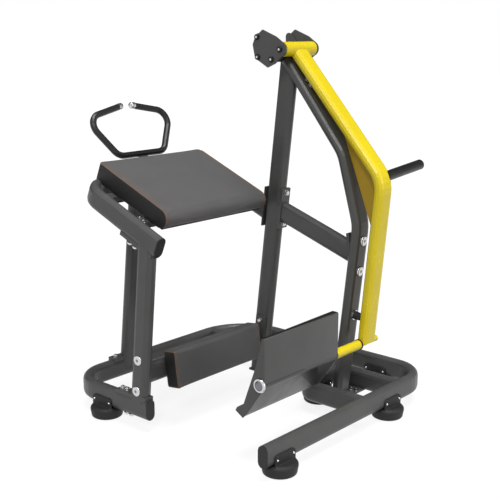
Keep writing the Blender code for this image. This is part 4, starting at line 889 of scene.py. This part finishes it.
# %% Shoes and their rivets
RIVET_R = 5.8 * MM
RIVET_H = 3.4 * MM
RIVET_REACH = 51.5 * MM
RIVET_SIDE = 32.0 * MM
RIVET_Z = 81.0 * MM
SHOES = {
    "rubber_foot_front_left": (-0.5275, -0.6225, True),
    "rubber_foot_front_right": (0.2695, -0.6225, True),
    "rubber_foot_left_leg": (-0.6025, 0.3825, False),
    "rubber_foot_right_rail": (0.6025, -0.3425, False),
    "rubber_foot_back_beam": (0.2575, 0.6225, True),
    "rubber_foot_cross_tube": (0.2125, -0.2575, True),
}
bpy.ops.object.select_all(action="DESELECT")
bpy.ops.mesh.primitive_uv_sphere_add(segments=16, ring_count=10, radius=RIVET_R)
rivet = start_piece("rivet")
bpy.ops.mesh.select_all(action="SELECT")
bpy.ops.mesh.bisect(plane_co=(0, 0, 0), plane_no=(0, 0, 1), clear_inner=True, use_fill=True)
bpy.ops.mesh.select_all(action="SELECT")
bpy.ops.transform.resize(value=(1, 1, RIVET_H / RIVET_R))
finish_piece(rivet, chrome, 50.0)
shoe_pattern = shoe_form("shoe")
for shoe, (x, y, along_x) in SHOES.items():
    spots = []
    for u in (-RIVET_REACH, RIVET_REACH):
        for way in (-1, 1):
            side = way * RIVET_SIDE
            spot = (x + u, y + side, RIVET_Z) if along_x else (x + side, y + u, RIVET_Z)
            spots.append((spot, (0, way, 0) if along_x else (way, 0, 0)))
    copies(rivet, shoe + "_rivets", spots, "frame")
    only(shoe_pattern)
    bpy.ops.object.duplicate()
    moulded_shoe = bpy.context.object
    moulded_shoe.name = shoe + "_moulding"
    moulded_shoe.location = (x, y, 0)
    moulded_shoe.rotation_euler.z = 0.0 if along_x else math.pi / 2
    bpy.ops.object.transform_apply(location=True, rotation=True, scale=True)
    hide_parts(shoe)
    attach(moulded_shoe, "frame")
bpy.data.objects.remove(shoe_pattern)
bpy.data.objects.remove(rivet)

# %% [markdown]
# The foot plate is folded from one sheet: a tall face that the foot pushes against, rolled at its rim,
# with a cheek on each side. A toe plate slopes away below it, cut off at a slant at its right end. The
# face starts as a box whose back and underside are deleted; its rim is bevelled and its wall is given
# its thickness. Cheeks and toe are outlines that are extruded sideways.

# %% Outlines that are extruded along X


def side_outline(name, outline, x_from, x_to):
    """A solid whose outline is given as (Y, Z) points, extruded from x_from to x_to."""
    bpy.ops.object.select_all(action="DESELECT")
    bpy.ops.mesh.primitive_circle_add(vertices=len(outline), radius=0.1, fill_type="NGON")
    plate = bpy.context.object
    for vert, (y, z) in zip(plate.data.vertices, outline):
        vert.co = (x_from, y, z)
    start_piece(name)
    bpy.ops.mesh.select_all(action="SELECT")
    bpy.ops.mesh.extrude_region_move(TRANSFORM_OT_translate={"value": (x_to - x_from, 0, 0)})
    bpy.ops.mesh.select_all(action="SELECT")
    bpy.ops.mesh.normals_make_consistent(inside=False)
    return plate


SHEET_ANGLE = 30.0


def on_foot_plate(piece, replaced, material):
    """Finishes a piece that swings with the foot plate and stands for one of its nodes."""
    finish_piece(piece, material, SHEET_ANGLE)
    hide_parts(replaced)
    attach(piece, "foot_plate")
    print(piece.name, "faces", len(piece.data.polygons))


# %% [markdown]
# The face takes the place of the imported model's flat panel. It stands a little proud of it and reaches
# across both cheeks.

# %% Face of the foot plate
PLATE_LOW, PLATE_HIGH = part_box("foot_plate_panel")
PLATE_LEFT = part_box("foot_plate_side_left")[0].x
PLATE_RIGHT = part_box("foot_plate_side_right")[1].x
RIM = 16 * MM
RIM_R = 5 * MM
SHEET_T = 4 * MM
PROUD = 0.6 * MM
bpy.ops.object.select_all(action="DESELECT")
bpy.ops.mesh.primitive_cube_add(
    size=1.0,
    location=(
        (PLATE_LEFT + PLATE_RIGHT) / 2,
        PLATE_LOW.y - PROUD + RIM / 2,
        (PLATE_LOW.z + PLATE_HIGH.z + PROUD) / 2,
    ),
    scale=(PLATE_RIGHT - PLATE_LEFT + 2 * PROUD, RIM, PLATE_HIGH.z - PLATE_LOW.z + PROUD),
)
bpy.ops.object.transform_apply(location=True, scale=True)
face_plate = start_piece("foot_plate_face")
pick("FACE", lambda f: f.normal.y > 0.9 or f.normal.z < -0.9)
bpy.ops.mesh.delete(type="FACE")
pick("EDGE", lambda e: not e.is_boundary)
bpy.ops.mesh.bevel(offset=RIM_R, segments=4)
bpy.ops.object.mode_set(mode="OBJECT")
bpy.ops.object.modifier_add(type="SOLIDIFY")
wall = face_plate.modifiers[-1]
wall.thickness = SHEET_T
wall.offset = -1.0
bpy.ops.object.modifier_apply(modifier=wall.name)
on_foot_plate(face_plate, "foot_plate_panel", charcoal_coat)

# %% [markdown]
# The toe is cut off at a slant. Beyond the cut, a little further back, a web fills a place where shade
# lies. Its black coat is painted shade: it stands for that shade. The photo doesn't tell whether it is
# black or only in shade. Here it is painted black.

# %% Cheeks and toe
SHAFT_Y, SHAFT_Z = -0.5225, 0.36
CHEEK_T = 5 * MM
CHEEK_DOWN = 4 * MM
TOP_Z = PLATE_HIGH.z - CHEEK_DOWN
CHEEK = [
    (SHAFT_Y + y, SHAFT_Z + z)
    for y, z in (
        (-0.015, TOP_Z - SHAFT_Z),
        (-0.015, 0.008),
        (-0.0212, 0.006),
        (-0.0212, -0.010),
        (0.068, -0.139),
        (0.098, -0.171),
        (0.140, -0.146),
        (0.130, -0.129),
        (0.093, -0.105),
        (0.026, 0.074),
        (-0.009, TOP_Z - SHAFT_Z),
    )
]
for hand, x in (("left", PLATE_LEFT), ("right", PLATE_RIGHT - CHEEK_T)):
    cheek = side_outline("foot_plate_cheek_" + hand, CHEEK, x, x + CHEEK_T)
    on_foot_plate(cheek, "foot_plate_side_" + hand, charcoal_coat)

TOE = [
    (SHAFT_Y + y, SHAFT_Z + z)
    for y, z in (
        (0.0020, -0.0200),
        (0.0710, -0.1380),
        (0.0990, -0.1680),
        (0.1400, -0.1440),
        (0.1375, -0.1397),
        (0.0999, -0.1617),
        (0.0752, -0.1350),
        (0.0063, -0.0174),
    )
]
TOE_CUT_AT = (-0.276, SHAFT_Y + 0.002, SHAFT_Z - 0.020)
TOE_CUT_WAY = (0.173, -0.1132, 0.1875)
WING_CUT_AT = (-0.138, SHAFT_Y + 0.002, SHAFT_Z - 0.020)
WING_CUT_WAY = (0.173, -0.0550, 0.0910)
WING_BACK = 3 * MM
toe = side_outline("foot_plate_toe", TOE, PLATE_LEFT + CHEEK_T, PLATE_RIGHT - CHEEK_T)
bpy.ops.mesh.bisect(plane_co=TOE_CUT_AT, plane_no=TOE_CUT_WAY, clear_outer=True, use_fill=True)
on_foot_plate(toe, "foot_plate_lip", charcoal_coat)

behind = [(y + WING_BACK, z + WING_BACK / 2) for y, z in TOE]
wing = side_outline("foot_plate_wing", behind, PLATE_LEFT + CHEEK_T, PLATE_RIGHT - CHEEK_T)
bpy.ops.mesh.bisect(plane_co=TOE_CUT_AT, plane_no=TOE_CUT_WAY, clear_inner=True, use_fill=True)
bpy.ops.mesh.select_all(action="SELECT")
bpy.ops.mesh.bisect(plane_co=WING_CUT_AT, plane_no=WING_CUT_WAY, clear_outer=True, use_fill=True)
# The web's black coat is painted shade.
finish_piece(wing, handle_coat, SHEET_ANGLE)
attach(wing, "foot_plate")

# %% [markdown]
# A dark band runs over the face, deeper towards the lever arm, with a dark line under it. They are
# read as a folded top and a rolled lower edge that lie in shade. Their black coat is painted shade, so
# that they show dark. They too may be black or only in shade, and they get the black coat so that they
# show dark.

# %% Top fold and roll
FOLD_LEFT = 16 * MM
FOLD_RIGHT = 34 * MM
FOLD_T = 2 * MM
FOLD_SUNK = 0.4 * MM
FOLD_EDGE = 0.6 * MM
ROLL_R = 4.5 * MM
ROLL_IN = 3.5 * MM
ROLL_DOWN = 1.0 * MM
ROLL_RIGHT = -0.270
bpy.ops.object.select_all(action="DESELECT")
bpy.ops.mesh.primitive_cube_add(
    size=1.0,
    location=(
        (PLATE_LEFT + PLATE_RIGHT) / 2,
        PLATE_LOW.y + RIM_R + (FOLD_LEFT - RIM_R) / 2,
        PLATE_HIGH.z + FOLD_T / 2 - FOLD_SUNK,
    ),
    scale=(PLATE_RIGHT - PLATE_LEFT - 2 * MM, FOLD_LEFT - RIM_R, FOLD_T),
)
bpy.ops.object.transform_apply(location=True, scale=True)
fold = start_piece("foot_plate_fold")
pick("VERT", lambda v: v.co.y > PLATE_LOW.y + FOLD_LEFT - 1 * MM and v.co.x > PLATE_RIGHT - 20 * MM)
bpy.ops.transform.translate(value=(0, FOLD_RIGHT - FOLD_LEFT, 0))
bpy.ops.mesh.select_all(action="SELECT")
bpy.ops.mesh.bevel(offset=FOLD_EDGE, segments=2)
# The fold's black coat is painted shade.
finish_piece(fold, handle_coat, SHEET_ANGLE)
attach(fold, "foot_plate")

ROLL_LEFT = PLATE_LEFT + CHEEK_T
bpy.ops.object.select_all(action="DESELECT")
bpy.ops.mesh.primitive_cylinder_add(
    vertices=24,
    radius=ROLL_R,
    depth=ROLL_RIGHT - ROLL_LEFT,
    location=((ROLL_LEFT + ROLL_RIGHT) / 2, PLATE_LOW.y + ROLL_IN, PLATE_LOW.z - ROLL_DOWN),
    rotation=(0, math.pi / 2, 0),
)
bpy.ops.object.transform_apply(location=True, rotation=True)
roll = start_piece("foot_plate_roll")
# The roll's black coat is painted shade.
finish_piece(roll, handle_coat, SHEET_ANGLE)
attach(roll, "foot_plate")

# %% [markdown]
# The shaft of the foot plate ends in a chrome dome with a duller middle, and each handle grip in a short
# chrome sleeve with a groove and a rounded end. They are turned shapes, so each is a profile that is
# spun round its axis.

# %% Turned chrome ends


def turned(name, profile, sides=32):
    """Spins (radius, height) points round Z. The first and last points lie on the axis."""
    bpy.ops.object.select_all(action="DESELECT")
    bpy.ops.mesh.primitive_circle_add(vertices=len(profile), radius=0.1, fill_type="NOTHING")
    shape = bpy.context.object
    for vert, (radius, height) in zip(shape.data.vertices, profile):
        vert.co = (radius, 0, height)
    start_piece(name)
    closing = {0, len(profile) - 1}
    pick("EDGE", lambda e: {v.index for v in e.verts} == closing)
    bpy.ops.mesh.delete(type="EDGE")
    bpy.ops.mesh.select_all(action="SELECT")
    bpy.ops.mesh.spin(steps=sides, angle=2 * math.pi, center=(0, 0, 0), axis=(0, 0, 1))
    bpy.ops.mesh.select_all(action="SELECT")
    bpy.ops.mesh.remove_doubles(threshold=0.00001)
    bpy.ops.mesh.normals_make_consistent(inside=False)
    return finish_piece(shape, chrome, 35.0)


def axis_of(node_name, side):
    """Which way a CAD cap points: the mean normal of its end face on this side of X."""
    total = Vector()
    for face in nodes[node_name].data.polygons:
        if face.normal.x * side > 0.8:
            total += face.normal * face.area
    return total.normalized()


DOME_R = 31 * MM
DOME_RING = 9 * MM
dome = turned(
    "dome",
    [
        (0, 0),
        (DOME_R, 0),
        (DOME_R, 3 * MM),
        (DOME_R - 2 * MM, 6.5 * MM),
        (DOME_R - DOME_RING, 8.5 * MM),
        (DOME_R - 11 * MM, 7.5 * MM),
        (DOME_R - 15 * MM, 10.5 * MM),
        (DOME_R - 22 * MM, 12.5 * MM),
        (0, 13 * MM),
    ],
)
dome.data.materials.append(satin_nickel)
for face in dome.data.polygons:
    inner = Vector(face.center[:2]).length < DOME_R - DOME_RING and face.normal.z > 0
    face.material_index = 1 if inner else 0
low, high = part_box("shaft_dome_cap")
dome_at = (high.x, (low.y + high.y) / 2, (low.z + high.z) / 2)
shaft_end = copies(dome, "shaft_dome", [(dome_at, LEFT)], "lever")
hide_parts("shaft_dome_cap")
bpy.data.objects.remove(dome)

GRIP_R = 16.4 * MM
SLEEVE_BACK = 7 * MM
sleeve = turned(
    "sleeve",
    [
        (0, -8 * MM),
        (GRIP_R, -8 * MM),
        (GRIP_R, 4 * MM),
        (GRIP_R - 2.5 * MM, 4.5 * MM),
        (GRIP_R - 2.5 * MM, 6.5 * MM),
        (GRIP_R, 7 * MM),
        (GRIP_R, 13 * MM),
        (GRIP_R - 2 * MM, 16 * MM),
        (GRIP_R - 6 * MM, 17.5 * MM),
        (0, 18 * MM),
    ],
)
for hand, side in (("left", 1), ("right", -1)):
    node_name = "handle_cap_" + hand
    low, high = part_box(node_name)
    way = axis_of(node_name, side)
    at = (low + high) / 2 - way * SLEEVE_BACK
    end = copies(sleeve, "handle_end_" + hand, [(at, way)], "frame")
    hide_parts(node_name)
bpy.data.objects.remove(sleeve)

# %% [markdown]
# The machine stands on a plain white floor in a soft studio. The floor takes the object's shadow, but
# most of its white comes from its own colour as the camera sees it, so that the light on the machine can
# stay at a level where colours look as they are written.

# %% Floor
FLOOR_SIZE = 60.0
FLOOR_GLOW = 0.86
bpy.ops.object.select_all(action="DESELECT")
bpy.ops.mesh.primitive_plane_add(size=FLOOR_SIZE, location=(0, 0, -0.0005))
floor = bpy.context.object
floor.name = "studio_floor"
floor_white = bpy.data.materials.new("studio_white")
floor_white.use_nodes = True
tree = floor_white.node_tree
tree.nodes.clear()
paths = add(tree, "ShaderNodeLightPath", {})
camera_ray, glossy_ray = paths.outputs["Is Camera Ray"], paths.outputs["Is Glossy Ray"]
seen = add(tree, "ShaderNodeMath", {0: camera_ray, 1: glossy_ray}, operation="MAXIMUM")
matte = add(tree, "ShaderNodeBsdfDiffuse", {"Color": linear("909090")})
faint = add(tree, "ShaderNodeBsdfDiffuse", {"Color": linear("6E6E6E")})
glow = add(tree, "ShaderNodeEmission", {"Color": (1, 1, 1, 1), "Strength": FLOOR_GLOW})
bright = add(tree, "ShaderNodeAddShader", {0: faint.outputs[0], 1: glow.outputs[0]})
mix = add(tree, "ShaderNodeMixShader", {0: seen.outputs[0], 1: matte.outputs[0], 2: bright.outputs[0]})
add(tree, "ShaderNodeOutputMaterial", {"Surface": mix.outputs[0]})
floor.data.materials.append(floor_white)

# %% [markdown]
# The light is soft and comes mostly from above and in front. Three wide suns light the whole floor evenly,
# so no horizon shows. The camera sees a white room, but reflections do not: in them the room is bright in
# front of the machine and nearly dark behind it, which draws the dark upper edges of the tubes.

# %% World and lamps
BEHIND_MACHINE = (0.749, 0.662, 0.0)
FADE = (-0.10, 0.45)
DARK_BACK = 0.06
ROOM_LIGHT = 0.42
world = bpy.data.worlds.new("studio")
scene.world = world
world.use_nodes = True
tree = world.node_tree
tree.nodes.clear()
paths = add(tree, "ShaderNodeLightPath", {})
camera_ray, through_ray = paths.outputs["Is Camera Ray"], paths.outputs["Is Transmission Ray"]
seen = add(tree, "ShaderNodeMath", {0: camera_ray, 1: through_ray}, operation="MAXIMUM")
room = add(tree, "ShaderNodeBackground", {"Color": (1, 1, 1, 1), "Strength": ROOM_LIGHT})
white = add(tree, "ShaderNodeBackground", {"Color": (1, 1, 1, 1), "Strength": 1.0})
way = add(tree, "ShaderNodeTexCoord", {})
toward_back = {0: way.outputs["Generated"], 1: BEHIND_MACHINE}
behind_it = add(tree, "ShaderNodeVectorMath", toward_back, operation="DOT_PRODUCT").outputs["Value"]
steps = {"Value": behind_it, "From Min": FADE[0], "From Max": FADE[1], "To Min": 1.0, "To Max": DARK_BACK}
shade = add(tree, "ShaderNodeMapRange", steps)
studio = add(tree, "ShaderNodeBackground", {"Color": (1, 1, 1, 1), "Strength": shade.outputs[0]})
glossy_ray = paths.outputs["Is Glossy Ray"]
mirrored = add(tree, "ShaderNodeMixShader", {0: glossy_ray, 1: room.outputs[0], 2: studio.outputs[0]})
mix = add(tree, "ShaderNodeMixShader", {0: seen.outputs[0], 1: mirrored.outputs[0], 2: white.outputs[0]})
add(tree, "ShaderNodeOutputWorld", {"Surface": mix.outputs[0]})


def sun(name, comes_from, strength, width_deg):
    """A wide sun. A strength of pi lights a facing surface to the colour that is written."""
    data = bpy.data.lights.new(name, "SUN")
    data.energy = strength
    data.angle = math.radians(width_deg)
    obj = bpy.data.objects.new(name, data)
    scene.collection.objects.link(obj)
    obj.rotation_euler = Vector(comes_from).to_track_quat("Z", "Y").to_euler()


sun("top_light", (0.0, -0.12, 1.0), 2.0, 30)
sun("front_light", (0.25, -1.0, 0.35), 0.70, 30)
sun("left_light", (-0.62, -0.42, 0.64), 1.0, 12)
scene.view_settings.view_transform = "Standard"
